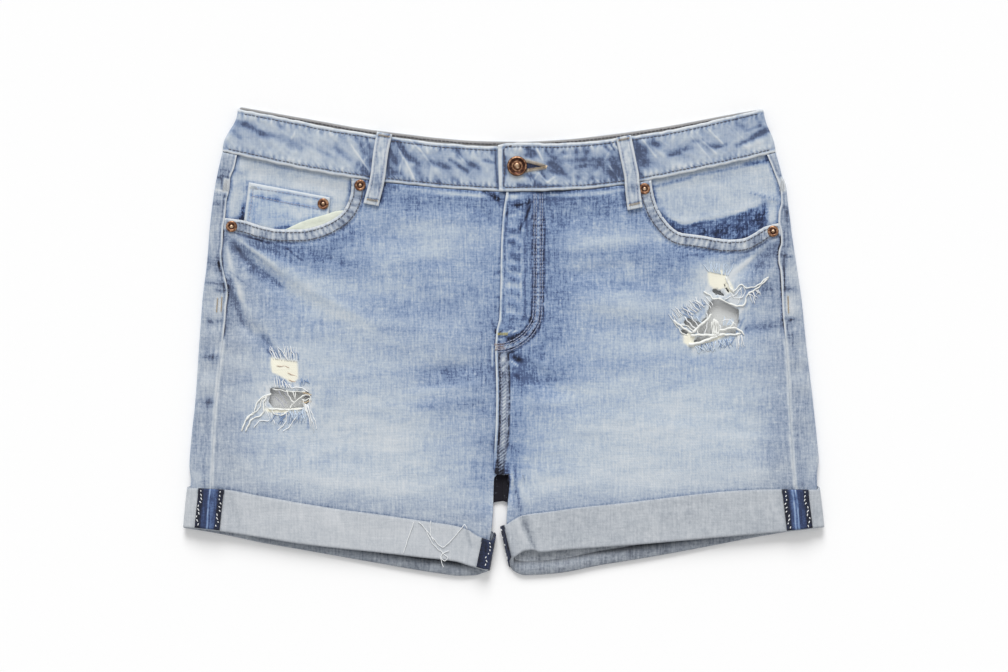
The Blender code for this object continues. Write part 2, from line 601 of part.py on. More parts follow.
# ---------------------------------------------------------------- cuffs
CUFF_PROFILE = [("bottom", CUFF_HOOK, -2.4), ("bottom", 1.3, -2.4), ("bottom", 0.3, -1.6),
                ("bottom", 0, -0.65), ("bottom", 0.3, 0.4), ("bottom", 1.3, 1.1),
                ("top", 1.2, 1.1), ("top", 0.2, 0.5), ("top", 0.2, -0.5), ("top", 1.0, -1.1),
                ("bottom", CUFF_HOOK, -1.1)]
CUFF_STEPS = 18


def cuff_ring(side, steps=CUFF_STEPS, turn_steps=TURN_STEPS):
    """Stations round a cuff: front outer to inner, inner turn, back inner to outer, turn."""
    out = -1 if side == "left" else 1
    radius = (CUFF_FRONT - CUFF_BACK) / 2
    middle = (CUFF_FRONT + CUFF_BACK) / 2
    inset = radius + CUFF / 2
    (outer_top, outer_bottom), (inner_top, inner_bottom) = CUFF_ENDS[side]
    outer = (outer_top - out * inset, outer_bottom - out * inset)
    inner = (inner_top + out * inset, inner_bottom + out * inset)

    def front(x_top, x_bottom):
        return ((x_top, float(smooth(CUFF_TOP[side], x_top))),
                (x_bottom, float(smooth(CUFF_BOTTOM[side], x_bottom))))

    def back(x_top, x_bottom):
        low = float(smooth(CUFF_BOTTOM_BACK[side], x_bottom))
        return (x_top, low + CUFF_WIDTH), (x_bottom, low)

    stations = []
    for s in np.linspace(0, 1, steps):
        top, bottom = front(mix(outer[0], inner[0], s), mix(outer[1], inner[1], s))
        stations.append(((*top, CUFF_FRONT), (*bottom, CUFF_FRONT), (0, 0, 1)))
    stations += turn(front(*inner), back(*inner), -out, radius, middle, turn_steps)
    for s in np.linspace(0, 1, steps):
        top, bottom = back(mix(inner[0], outer[0], s), mix(inner[1], outer[1], s))
        stations.append(((*top, CUFF_BACK), (*bottom, CUFF_BACK), (0, 0, -1)))
    stations += turn(front(*outer), back(*outer), out, radius, middle, turn_steps)[::-1]
    return [np.array(part, float) for part in zip(*stations)]


def turn(front, back, out, radius, middle, steps):
    """Half round from the front's end to the back's end."""
    stations = []
    for k in range(1, steps):
        angle = math.pi * k / steps
        share = (1 - math.cos(angle)) / 2
        height = middle + radius * math.cos(angle)
        push = out * radius * math.sin(angle)
        ends = [(mix(f[0], b[0], share) + push, mix(f[1], b[1], share), height)
                for f, b in zip(front, back)]
        stations.append((ends[0], ends[1], (out * math.sin(angle), 0, math.cos(angle))))
    return stations


def cuff(side):
    tops, bottoms, normals = cuff_ring(side)
    return sweep("cuff_" + side, tops, bottoms, normals, CUFF_PROFILE, True, "denim_inside")


TAB_LIFT = CUFF / 2 + SEAM + CLOTH / 2
TAB_MARGIN = 1.5       # clear of the cuff's folded edges


def cuff_tab(name, side, first, last):
    """Strip of seam allowance on the cuff's outer face, made from the cuff's own stations."""
    tops, bottoms, normals = (a[first:last + 1] for a in cuff_ring(side, *TAB_STATIONS))
    up = tops - bottoms
    up /= np.linalg.norm(up, axis=1, keepdims=True)
    length = np.linalg.norm(tops - bottoms, axis=1, keepdims=True)
    rows = []
    for s in np.linspace(0, 1, 4):
        rows.append(bottoms + up * mix(TAB_MARGIN, length - TAB_MARGIN, s) + normals * TAB_LIFT)
    return sheet(name, rows, CLOTH, "indigo")


# ---------------------------------------------------------------- pockets
def pocket_facing(side):
    out = -1 if side == "left" else 1
    u, v = np.meshgrid(np.linspace(0, 1, 12), np.linspace(0, 1, 9))
    x, y = spread(u, v, lambda y: smooth(OUTLINE[side], y) - out * 6.5,
                  lambda y: FACING_INNER[side] + 0 * y,
                  lambda x: smooth(WAIST_SEAM, x) + 5,
                  lambda x: smooth(FACING_BOTTOM[side], x))
    height = facing_height(side, x, y)
    return sheet("pocket_facing_" + side, np.stack([x, y, height], axis=2), CLOTH, "denim")


def coin_pocket():
    u, v = np.meshgrid(np.linspace(0, 1, 7), np.linspace(0, 1, 5))
    outer = [(row[0], row[1]) for row in COIN_SIDES]
    inner = [(row[0], row[2]) for row in COIN_SIDES]
    x, y = spread(u, v, lambda y: smooth(outer, y), lambda y: smooth(inner, y),
                  lambda x: smooth(COIN_TOP, x), lambda x: COIN_BOTTOM_Y + 0 * x)
    return sheet("coin_pocket", np.stack([x, y, COIN + 0 * x], axis=2), CLOTH, "denim")


def pocket_bag():
    u, v = np.meshgrid(np.linspace(0, 1, 10), np.linspace(0, 1, 4))
    x, y = spread(u, v, lambda y: BAG_ENDS[0] + 0 * y, lambda y: BAG_ENDS[1] + 0 * y,
                  lambda x: smooth(BAG_TOP, x), lambda x: smooth(BAG_TOP, x) - BAG_DEPTH)
    return sheet("pocket_bag_left", np.stack([x, y, BAG + 0 * x], axis=2), CLOTH, "pocketing")


# ---------------------------------------------------------------- trims
def belt_loop(name, top_x, top_y, bottom_x, bottom_y):
    """Folded strip from over the waistband's top edge to below its seam, slightly arched."""
    steps = 15
    along = np.array([bottom_x - top_x, bottom_y - top_y])
    length = np.hypot(*along)
    along /= length
    side = np.array([-along[1], along[0]])
    rows = []
    for s in np.linspace(0, 1, steps):
        far = s * length
        centre = np.array([top_x, top_y]) + along * far
        seam = float(smooth(WAIST_SEAM, centre[0]))
        on_band = BAND_FRONT + BAND / 2 + SEAM + LOOP_CLOTH / 2
        on_panel = FRONT_AT_BAND + CLOTH / 2 + SEAM + LOOP_CLOTH / 2 + 0.1
        height = mix(on_panel, on_band, float(ramp((centre[1] - seam + 5) / 4)))
        height += LOOP_ARCH * math.sin(math.pi * s) ** 0.7
        row = [(*(centre - side * w), height) for w in np.linspace(-0.5, 0.5, 3) * LOOP_WIDTH]
        rows.append(row)
    return sheet(name, rows, LOOP_CLOTH, "denim")


def rivet(name, x, y, layer):
    if layer == "coin":
        middle = COIN
    else:
        side = "left" if x < 0 else "right"
        middle = float(front_panel_height(side, np.array(x), np.array(y))) + RIVET_CLEAR
    return turned(name, RIVET_PROFILE, x, y, middle + CLOTH / 2 + SEAM, 14, "copper")


def button():
    x, y = BUTTON_AT
    return turned("button", BUTTON_PROFILE, x, y, BAND_LAP + BAND / 2, 24, "copper")


def main():
    for old in list(bpy.data.objects):
        bpy.data.objects.remove(old)
    for side in ("left", "right"):
        front_panel(side)
        back_panel(side)
        pocket_facing(side)
        cuff(side)
    waistband()
    coin_pocket()
    pocket_bag()
    for row in BELT_LOOPS:
        belt_loop(*row)
    for row in TABS:
        cuff_tab(*row)
    for row in RIVETS:
        rivet(*row)
    button()


main()
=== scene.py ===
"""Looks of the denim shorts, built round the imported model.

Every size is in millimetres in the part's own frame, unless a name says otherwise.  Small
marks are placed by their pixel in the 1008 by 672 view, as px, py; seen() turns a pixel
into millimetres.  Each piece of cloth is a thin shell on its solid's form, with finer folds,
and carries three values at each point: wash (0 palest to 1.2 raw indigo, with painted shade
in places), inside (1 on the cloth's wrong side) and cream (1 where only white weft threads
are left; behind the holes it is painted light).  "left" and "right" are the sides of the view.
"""
import math

import bmesh
import bpy
import numpy as np
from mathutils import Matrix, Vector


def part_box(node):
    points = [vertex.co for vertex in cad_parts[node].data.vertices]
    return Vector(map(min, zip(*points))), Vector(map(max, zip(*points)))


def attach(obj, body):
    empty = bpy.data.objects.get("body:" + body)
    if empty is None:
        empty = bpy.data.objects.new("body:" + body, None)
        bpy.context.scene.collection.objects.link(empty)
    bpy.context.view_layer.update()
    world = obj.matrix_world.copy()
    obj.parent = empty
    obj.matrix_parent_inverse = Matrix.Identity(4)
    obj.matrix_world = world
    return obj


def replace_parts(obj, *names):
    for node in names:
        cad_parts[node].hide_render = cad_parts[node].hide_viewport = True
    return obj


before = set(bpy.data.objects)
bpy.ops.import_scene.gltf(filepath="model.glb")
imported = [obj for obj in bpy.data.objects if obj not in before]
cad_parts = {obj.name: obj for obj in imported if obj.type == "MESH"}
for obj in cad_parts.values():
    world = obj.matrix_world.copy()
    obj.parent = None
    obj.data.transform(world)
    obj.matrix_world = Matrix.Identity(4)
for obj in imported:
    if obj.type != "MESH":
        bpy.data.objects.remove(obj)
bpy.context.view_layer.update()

# ---------------------------------------------------------------- units and the view
MM = 0.001
CENTRE = (0.2, 0.13)           # moved to the origin, as in the part
PIXEL = 0.85                   # millimetres in a pixel of the view
ZERO_PIXEL = (503.5, 341.5)    # pixel of x = 0, y = 0 before the move

# ---------------------------------------------------------------- the part's sizes (mm)
CLOTH, SEAM, BAND, CUFF = 1.0, 0.3, 2.2, 2.2
CUFF_WIDTH = 36.0
CUFF_HOOK = 8.0                        # how far the cuff's lower fold turns up inside the leg
HEM_CLEAR = 2.2                        # from the leg's end to that fold
FRONT, FRONT_AT_BAND, FRONT_AT_CUFF = 5.2, 5.6, 5.5
BACK, BACK_AT_CUFF = CLOTH / 2, CUFF + SEAM + CLOTH / 2
BAND_BACK, BAND_FRONT = BAND / 2, FRONT_AT_BAND
BAND_LAP = BAND_FRONT + BAND + SEAM
CUFF_BACK = CUFF / 2
CUFF_FRONT = FRONT_AT_CUFF + CLOTH / 2 + SEAM + CUFF / 2
LAP = CLOTH + 0.45                     # rise of the front that laps over the other
FACING_LEFT, FACING_RIGHT, FACING_AT_BAND, FACING_AT_SIDE = 2.2, 2.6, 3.6, 4.1
COIN = FACING_LEFT + CLOTH + SEAM
BAG = COIN + CLOTH + SEAM

SIDES = ("left", "right")
OUT = {"left": -1, "right": 1}         # which way a side's outer edge lies
CROTCH_X = {"left": -8.5, "right": 3.5}
CROTCH_END = -136.0                    # y where the legs part
BACK_RISE = 2.5                        # the back's waist seam lies this much higher

# Lines across the garment: columns x, y
WAIST_SEAM = [
    (-238.5, 161), (-207, 154), (-173, 146.5), (-139, 140.5), (-105, 135.5), (-71, 132), (-37, 129),
    (0, 127.2), (31, 127.5), (65, 129), (99, 132.5), (133, 138.5), (167, 145.5), (201, 153), (231, 160.5)]
BAND_TOP_LEFT = [
    (-224, 197), (-190, 190.5), (-156, 183.5), (-122, 177.5), (-88, 172.5), (-54, 168.5), (-20, 166),
    (25, 164.5)]
BAND_TOP_RIGHT = [
    (-5, 166.5), (8, 168.3), (40, 168), (65, 169), (92, 172), (124.5, 176.5), (158.5, 183), (192.5, 191),
    (218, 197)]
BAND_TOP_BACK = [
    (-224, 199.5), (-190, 193.5), (-156, 187.5), (-122, 181.5), (-88, 177), (-54, 173), (-20, 170.5),
    (14, 170), (48, 171.5), (82, 175), (116, 179.5), (150, 185), (184, 191.5), (218, 197.5)]
CUFF_TOP = {
    "left": [
        (-268, -123.5), (-235, -125.5), (-207, -130.5), (-173, -136.5), (-139, -142), (-105, -146.5),
        (-71, -151.5), (-41, -156), (-31, -159), (-22, -164.5), (-8, -169.5)],
    "right": [
        (-1.5, -158), (4, -154), (10, -150), (17, -147), (36, -144.5), (65, -140.5), (99, -137),
        (133, -133), (167, -129), (201, -126), (235, -125), (268, -125.5)]}
CUFF_BOTTOM = {
    "left": [
        (-272, -157.5), (-240, -161), (-207, -166), (-173, -171.5), (-139, -175.5), (-105, -179),
        (-71, -183), (-41, -186.5), (-28, -190.5), (-14, -194.5)],
    "right": [
        (5.5, -185.5), (12, -181), (18, -177.5), (25, -176.8), (31, -178.6), (48, -177), (82, -174.5),
        (116, -172), (150, -169), (184, -166), (218, -163), (252, -160), (272.5, -157)]}
CUFF_BOTTOM_BACK = {
    "left": [
        (-272, -158), (-240, -163.5), (-207, -170.5), (-173, -176.5), (-139, -182.5), (-105, -188.5),
        (-79.5, -193), (-54, -197), (-37, -199), (-24, -198.5), (-14, -195)],
    "right": [
        (5.5, -189.5), (10.5, -196), (18.5, -198.5), (31, -198), (48, -196.5), (82, -190), (116, -184.5),
        (150, -178.5), (184, -172), (218, -165.5), (252, -160), (272.5, -157.5)]}
# Lines down the garment: columns y, x
OUTLINE = {
    "left": [
        (197.5, -225.5), (188.5, -230), (182.5, -230.5), (171.5, -236), (161, -238.5), (139, -243.5),
        (117.5, -247), (95, -249.5), (69.5, -251.5), (35.5, -255.5), (1.5, -258), (-49.5, -261.5),
        (-88, -265.5), (-105, -266.5), (-117.5, -265.2), (-126, -266), (-157.5, -269.3)],
    "right": [
        (197, 220.5), (186.5, 224), (179, 225.5), (169.5, 228), (160.5, 231), (147, 234.8), (140, 236.6),
        (133, 239.6), (127, 240.4), (118, 241.4), (106, 243), (93, 244.5), (69.5, 248), (35.5, 253),
        (1.5, 256.5), (-49.5, 262.5), (-88, 266.5), (-100.5, 267.5), (-113.5, 266), (-123.5, 266),
        (-156, 269.5)]}
# The side seams as seen on the front, with their small waves
SIDE_SEAM = {
    "left": [
        (157.7, -226), (147.5, -228.2), (139, -231.6), (128.8, -232.5), (118.6, -235), (106.7, -235.9),
        (96.5, -237.6), (81.2, -238.4), (74.4, -239.3), (67.6, -238.9), (60.8, -237.6), (54, -235.9),
        (47.2, -234.4), (40.4, -233.8), (30.2, -235), (18.3, -235.9), (6.4, -237.2), (-24, -241),
        (-58, -244.5), (-92, -246.5), (-123, -247.5), (-159.5, -250.5)],
    "right": [
        (157.7, 223.6), (149.2, 227.2), (141.5, 230.3), (133.9, 233.2), (125.4, 235.2), (117.7, 235.4),
        (109.2, 233.4), (101.6, 233), (93.1, 235), (83.7, 235.4), (76.1, 233.2), (68.4, 233), (59.9, 234.8),
        (43.8, 235.8), (26.8, 236.6), (1.5, 239), (-28.5, 241.5), (-62.5, 243), (-96.5, 245),
        (-123.5, 247.5), (-159.5, 249.5)]}
FLY_EDGE = [
    (126.5, 2.5), (105, -0.5), (78, -2), (48, -2.5), (20, -3.4), (9, -5.8), (-7, -6.9), (-25, -6.4),
    (-45, -6), (-67, -6.4), (-84, -7.2), (-97, -7.9), (-106, -8.6)]
# Where front and back meet inside each leg
INSEAM = {"left": [(-156, -10), (-166, -11.5), (-178, -13), (-190, -17)],
          "right": [(-143, 3.4), (-152, 2.8), (-158, 3.4), (-166, 4.4), (-178, 7.2), (-190, 11.5)]}
FRONT_INNER = {
    "left": [(126.5, 15.5), (60, 12), (9, 9), (-37, 9), (-71, 8.5), (-95, 7), (-105, 3.5), (-111, -3),
             (-116, -8), (-122, -8.5), (-143, -9), *INSEAM["left"]],
    "right": [*FLY_EDGE, (-112, -7), (-115.5, -1.5), (-118, 3.5), (-121, 5.2), (-130.5, 4.5),
              *INSEAM["right"]]}
BACK_INNER = {
    "left": [(130, 0), (-135.5, 0), (-136, -4), (-136.4, -8.3), (-142, -9), *INSEAM["left"]],
    "right": [(130, 0), (-135.5, 0), (-136, 1.8), (-136.4, 3.2), *INSEAM["right"]]}
# Outer and inner end of each cuff: x at its top and at its bottom
CUFF_ENDS = {"left": ((-268.5, -272.0), (-7.5, -13.0)), "right": ((268.5, 272.4), (-1.5, 5.5))}
# Front pocket mouths: columns x, y
POCKET_MOUTH = {
    "left": [
        (-129, 146), (-129, 139), (-129, 129), (-131.5, 118.5), (-136.5, 110), (-145, 103.5), (-157.5, 98),
        (-173, 95), (-188.5, 95), (-205.5, 98), (-219.5, 102.5), (-232, 104.3), (-252, 106)],
    "right": [
        (125, 146), (125.5, 135), (127.2, 124.5), (131, 113), (136.5, 104), (143.5, 96.2), (150, 92.2),
        (159, 91), (170.5, 89.4), (181, 87.4), (192.5, 86.4), (203.5, 87.4), (212.9, 92), (221.5, 97.3),
        (232.5, 100.2), (252, 103)]}
FACING_BOTTOM = {
    "left": [(-245, 84), (-205, 78), (-173, 76), (-145, 84), (-112, 104)],
    "right": [(112, 104), (145, 84), (175, 72), (200, 69), (245, 80)]}
FACING_INNER = {"left": -114.0, "right": 112.0}
COIN_TOP = [(-217, 135.3), (-146.5, 122)]
COIN_BOTTOM_Y = 84.0
# The coin pocket's sides: columns y, x of the outer side, x of the inner side
COIN_SIDES = [(135, -216, -146.5), (84, -222.5, -149.5)]
BAG_TOP = [(-187, 94), (-168.5, 102.5), (-151.5, 107.5), (-139, 111), (-128, 111.5)]
BAG_ENDS, BAG_DEPTH = (-187.0, -128.0), 16.0
# The solids' folds: x0, y0, x1, y1, half width, height
FOLDS = [
    (-232, 84, -192, 52, 8, -1.7), (-218, 82, -176, 55, 7, 1.2), (-176, 55, -112, 16, 11, 0.9),
    (-206, 52, -150, 22, 9, -1.1), (-231, 50, -222, 16, 7, -1.6), (-222, 16, -206, 2, 7, -1.2),
    (-208, 10, -194, -14, 6, -1), (-216, 30, -205, 0, 7, 0.9), (-120, 96, -60, 80, 14, -0.7),
    (-100, 40, -30, 22, 16, -0.9), (-90, 8, -25, -8, 15, 0.8), (-60, -30, -14, -16, 12, -1),
    (-75, -62, -16, -40, 14, 0.8), (-190, -70, -120, -92, 18, -0.7), (-170, -25, -90, -55, 22, 0.6),
    (36, 112, 74, 104, 12, -0.7), (44, 60, 120, 52, 13, -0.9), (60, 34, 135, 26, 12, 0.8),
    (82, 14, 150, 6, 12, -0.9), (14, -14, 62, -52, 12, -1.2), (18, -40, 80, -74, 15, 0.9),
    (112, 72, 190, 60, 12, 0.6), (236, 80, 192, 56, 8, -1.2), (230, 64, 186, 40, 8, 0.9),
    (226, 30, 160, -16, 16, -0.8), (90, -60, 190, -96, 22, 0.7), (200, -40, 226, -110, 14, -0.8)]
BUTTON_AT = (11.5, 148.5)
BUTTONHOLE = (11.5, 37.0)      # x of its start and of its point
LAP_START, LAP_END = 62.0, 34.0
BAND_LEFT_END, BAND_RIGHT_END = 27.0, -4.8
BELT_LOOPS = [("belt_loop_left", -100.8, 176.6, -112.3, 116.0),
              ("belt_loop_right", 99.3, 173.3, 111.5, 112.5)]
LOOP_WIDTH, LOOP_CLOTH, LOOP_ARCH = 12.0, 1.5, 1.0
# How far each loop bows sideways: share of its length, mm
LOOP_BOW = {"belt_loop_left": [(0, 0), (0.35, 0.3), (0.7, 1.2), (1, 0.2)],
            "belt_loop_right": [(0, 2.0), (0.3, 2.8), (0.53, 2.5), (0.7, 1.1), (1, 0.3)]}
# Cuff tabs: node, side, first and last of the solids' stations (along a layer, round a turn)
TAB_STATIONS, TAB_FINER = (84, 10), 4
TABS = [("cuff_tab_left_outer", "left", 2, 9), ("cuff_tab_left_inner", "left", 81, 90),
        ("cuff_tab_right_outer", "right", 2, 9), ("cuff_tab_right_inner", "right", 85, 90)]

# ---------------------------------------------------------------- finer folds, fades and painted shade (pixels)
# Narrow creases of each front: px, py to px, py, half width (mm), height (mm)
CREASES = {
    "left": [
        (232, 280, 243, 322, 3, -0.8), (243, 322, 254, 337, 2.6, -0.6), (262, 333, 276, 357, 2.2, -0.7),
        (268, 330, 282, 354, 2.4, 0.5), (244, 243, 264, 257, 1.9, 0.6), (262, 256, 284, 274, 2.2, 0.5),
        (256, 243, 292, 262, 3.4, -0.6), (232, 242, 252, 268, 3.2, -0.6), (227, 246, 236, 280, 2, 0.5),
        (244, 258, 284, 290, 3, -0.7), (298, 283, 372, 322, 4, 0.5), (290, 244, 350, 266, 4, -0.5),
        (234, 272, 246, 312, 2.4, 0.4), (372, 262, 460, 256, 5, 0.3), (420, 372, 492, 366, 4, -0.4),
        (400, 396, 480, 384, 4, 0.4), (476, 205, 490, 224, 3, -0.5)],
    "right": [
        (531, 198, 527, 214, 2, -0.9), (527, 214, 519, 232, 2, -0.7), (536, 200, 531, 216, 2, 0.6),
        (545, 222, 610, 214, 5, -0.3), (560, 250, 640, 240, 5, 0.4), (570, 276, 650, 262, 5, -0.4),
        (508, 352, 524, 366, 2.6, -0.8), (520, 350, 552, 372, 4, 0.6), (512, 372, 560, 392, 4, -0.6),
        (520, 404, 592, 400, 5, 0.4), (728, 277, 762, 249, 1.8, 0.6), (724, 271, 756, 246, 2.2, -0.5),
        (746, 262, 778, 242, 3, -0.5), (752, 285, 782, 262, 4, 0.5), (740, 332, 782, 322, 4, -0.5),
        (505, 480, 520, 512, 2.2, -0.9), (512, 474, 530, 504, 3, 0.6)]}
# Fades of each place, some of them painted shade and light of folds, hems and seams: px, py,
# half width, half height, change of wash (+ is darker), and the tilt in degrees where it has one
FADES_AND_SHADE = {
    "left": [
        (440, 200, 80, 9, 0.22), (410, 210, 26, 9, 0.16), (375, 238, 62, 7, 0.12),
        (274, 241, 22, 6, 0.28, -14), (239, 266, 7, 10, 0.1, -30), (263, 266, 12, 4, -0.12, -40),
        (335, 265, 16, 6, -0.12), (232, 282, 6, 12, 0.22), (440, 380, 48, 11, 0.16, 2),
        (445, 420, 30, 38, 0.12), (345, 482, 130, 12, -0.2, -6), (392, 200, 22, 8, 0.12),
        (345, 216, 14, 26, 0.2), (478, 214, 26, 15, 0.14), (442, 238, 38, 15, -0.17),
        (400, 264, 80, 6, 0.1, 1), (306, 250, 44, 9, 0.2, -8), (258, 268, 34, 8, 0.18, -38),
        (246, 246, 18, 7, 0.12, -12), (330, 263, 32, 8, 0.22, -14), (330, 287, 66, 8, -0.14, -4),
        (322, 305, 66, 6, -0.22, -27), (292, 276, 22, 5, -0.1, -32), (240, 292, 24, 4, -0.2, -66),
        (232, 300, 7, 26, 0.22), (345, 322, 44, 7, -0.1, -18), (382, 330, 60, 5, 0.06, -3),
        (492, 330, 14, 92, 0.14), (464, 376, 34, 10, 0.2, 4), (446, 404, 34, 5, 0.16, 6),
        (470, 320, 30, 52, 0.05), (420, 310, 40, 8, 0.08, 2), (350, 425, 112, 60, -0.24),
        (398, 456, 66, 36, -0.14), (300, 356, 60, 22, -0.14), (272, 344, 16, 14, 0.16, -50),
        (488, 440, 15, 62, 0.12), (232, 440, 10, 60, 0.05), (262, 398, 12, 20, -0.16),
        (285, 352, 18, 8, -0.12)],
    "right": [
        (588, 200, 62, 11, 0.3), (527, 206, 22, 16, 0.2), (556, 200, 22, 12, 0.14), (600, 211, 18, 7, 0.16),
        (588, 252, 32, 5, 0.1, 2), (712, 247, 62, 7, 0.18, 2), (766, 284, 14, 16, 0.16),
        (545, 379, 44, 6, 0.15), (670, 478, 110, 14, -0.2, 3), (771, 440, 12, 42, 0.12),
        (530, 486, 60, 14, -0.12), (640, 214, 18, 18, 0.12), (578, 222, 40, 8, 0.16, 3),
        (524, 236, 22, 50, 0.3), (528, 330, 30, 44, 0.3), (556, 262, 14, 60, 0.16),
        (612, 241, 34, 7, -0.12, 3), (600, 256, 46, 5, 0.12, 3), (612, 268, 36, 6, -0.12, 3),
        (600, 284, 44, 6, 0.1, 2), (668, 272, 30, 12, 0.08, 8), (694, 255, 60, 8, 0.22, 3),
        (640, 304, 62, 10, -0.18, 1), (566, 294, 16, 26, 0.14), (626, 326, 60, 6, 0.1, 4),
        (692, 336, 40, 5, 0.08, 4), (540, 368, 40, 13, 0.2, 3), (516, 366, 9, 22, 0.14),
        (642, 350, 60, 8, -0.14, 5), (604, 365, 40, 8, 0.1, 5), (548, 406, 50, 8, 0.16, 2),
        (590, 388, 56, 6, -0.1, 3), (690, 424, 108, 58, -0.28), (596, 450, 62, 34, -0.16),
        (782, 430, 16, 74, 0.14), (514, 450, 9, 50, 0.2), (764, 262, 20, 8, 0.18, 38),
        (745, 263, 22, 2.4, -0.45, 38), (765, 326, 20, 5, 0.18, 4), (718, 280, 24, 18, -0.3),
        (696, 300, 20, 10, -0.16, 38), (712, 346, 32, 8, -0.22, 6), (714, 272, 22, 12, -0.26),
        (734, 302, 12, 12, -0.24), (692, 312, 14, 8, -0.22, -40), (665, 316, 26, 10, -0.06),
        (752, 290, 18, 8, 0.14), (522, 374, 14, 26, 0.14), (548, 240, 12, 50, 0.07),
        (516, 228, 12, 36, 0.12)],
    "band": [
        (396, 152, 14, 14, 0.12, -60), (440, 166, 40, 8, 0.1, -12), (592, 166, 34, 12, 0.14, 10),
        (640, 152, 10, 14, 0.12), (250, 132, 26, 7, 0.12, -26), (548, 168, 26, 12, 0.1),
        (705, 146, 66, 20, 0.11, 14), (645, 156, 22, 20, 0.08), (582, 166, 38, 24, 0.12)],
    "strip": [
        (222, 176, 9, 8, 0.34), (218, 204, 7, 8, 0.16), (214, 264, 14, 7, 0.34), (210, 322, 8, 7, 0.14),
        (206, 358, 8, 6, 0.18), (205, 402, 9, 5, 0.24), (204, 440, 10, 16, 0.1), (790, 236, 8, 16, 0.26),
        (788, 290, 10, 6, 0.28), (792, 321, 9, 6, 0.26), (797, 262, 6, 14, -0.06), (800, 400, 8, 30, 0.08)]}
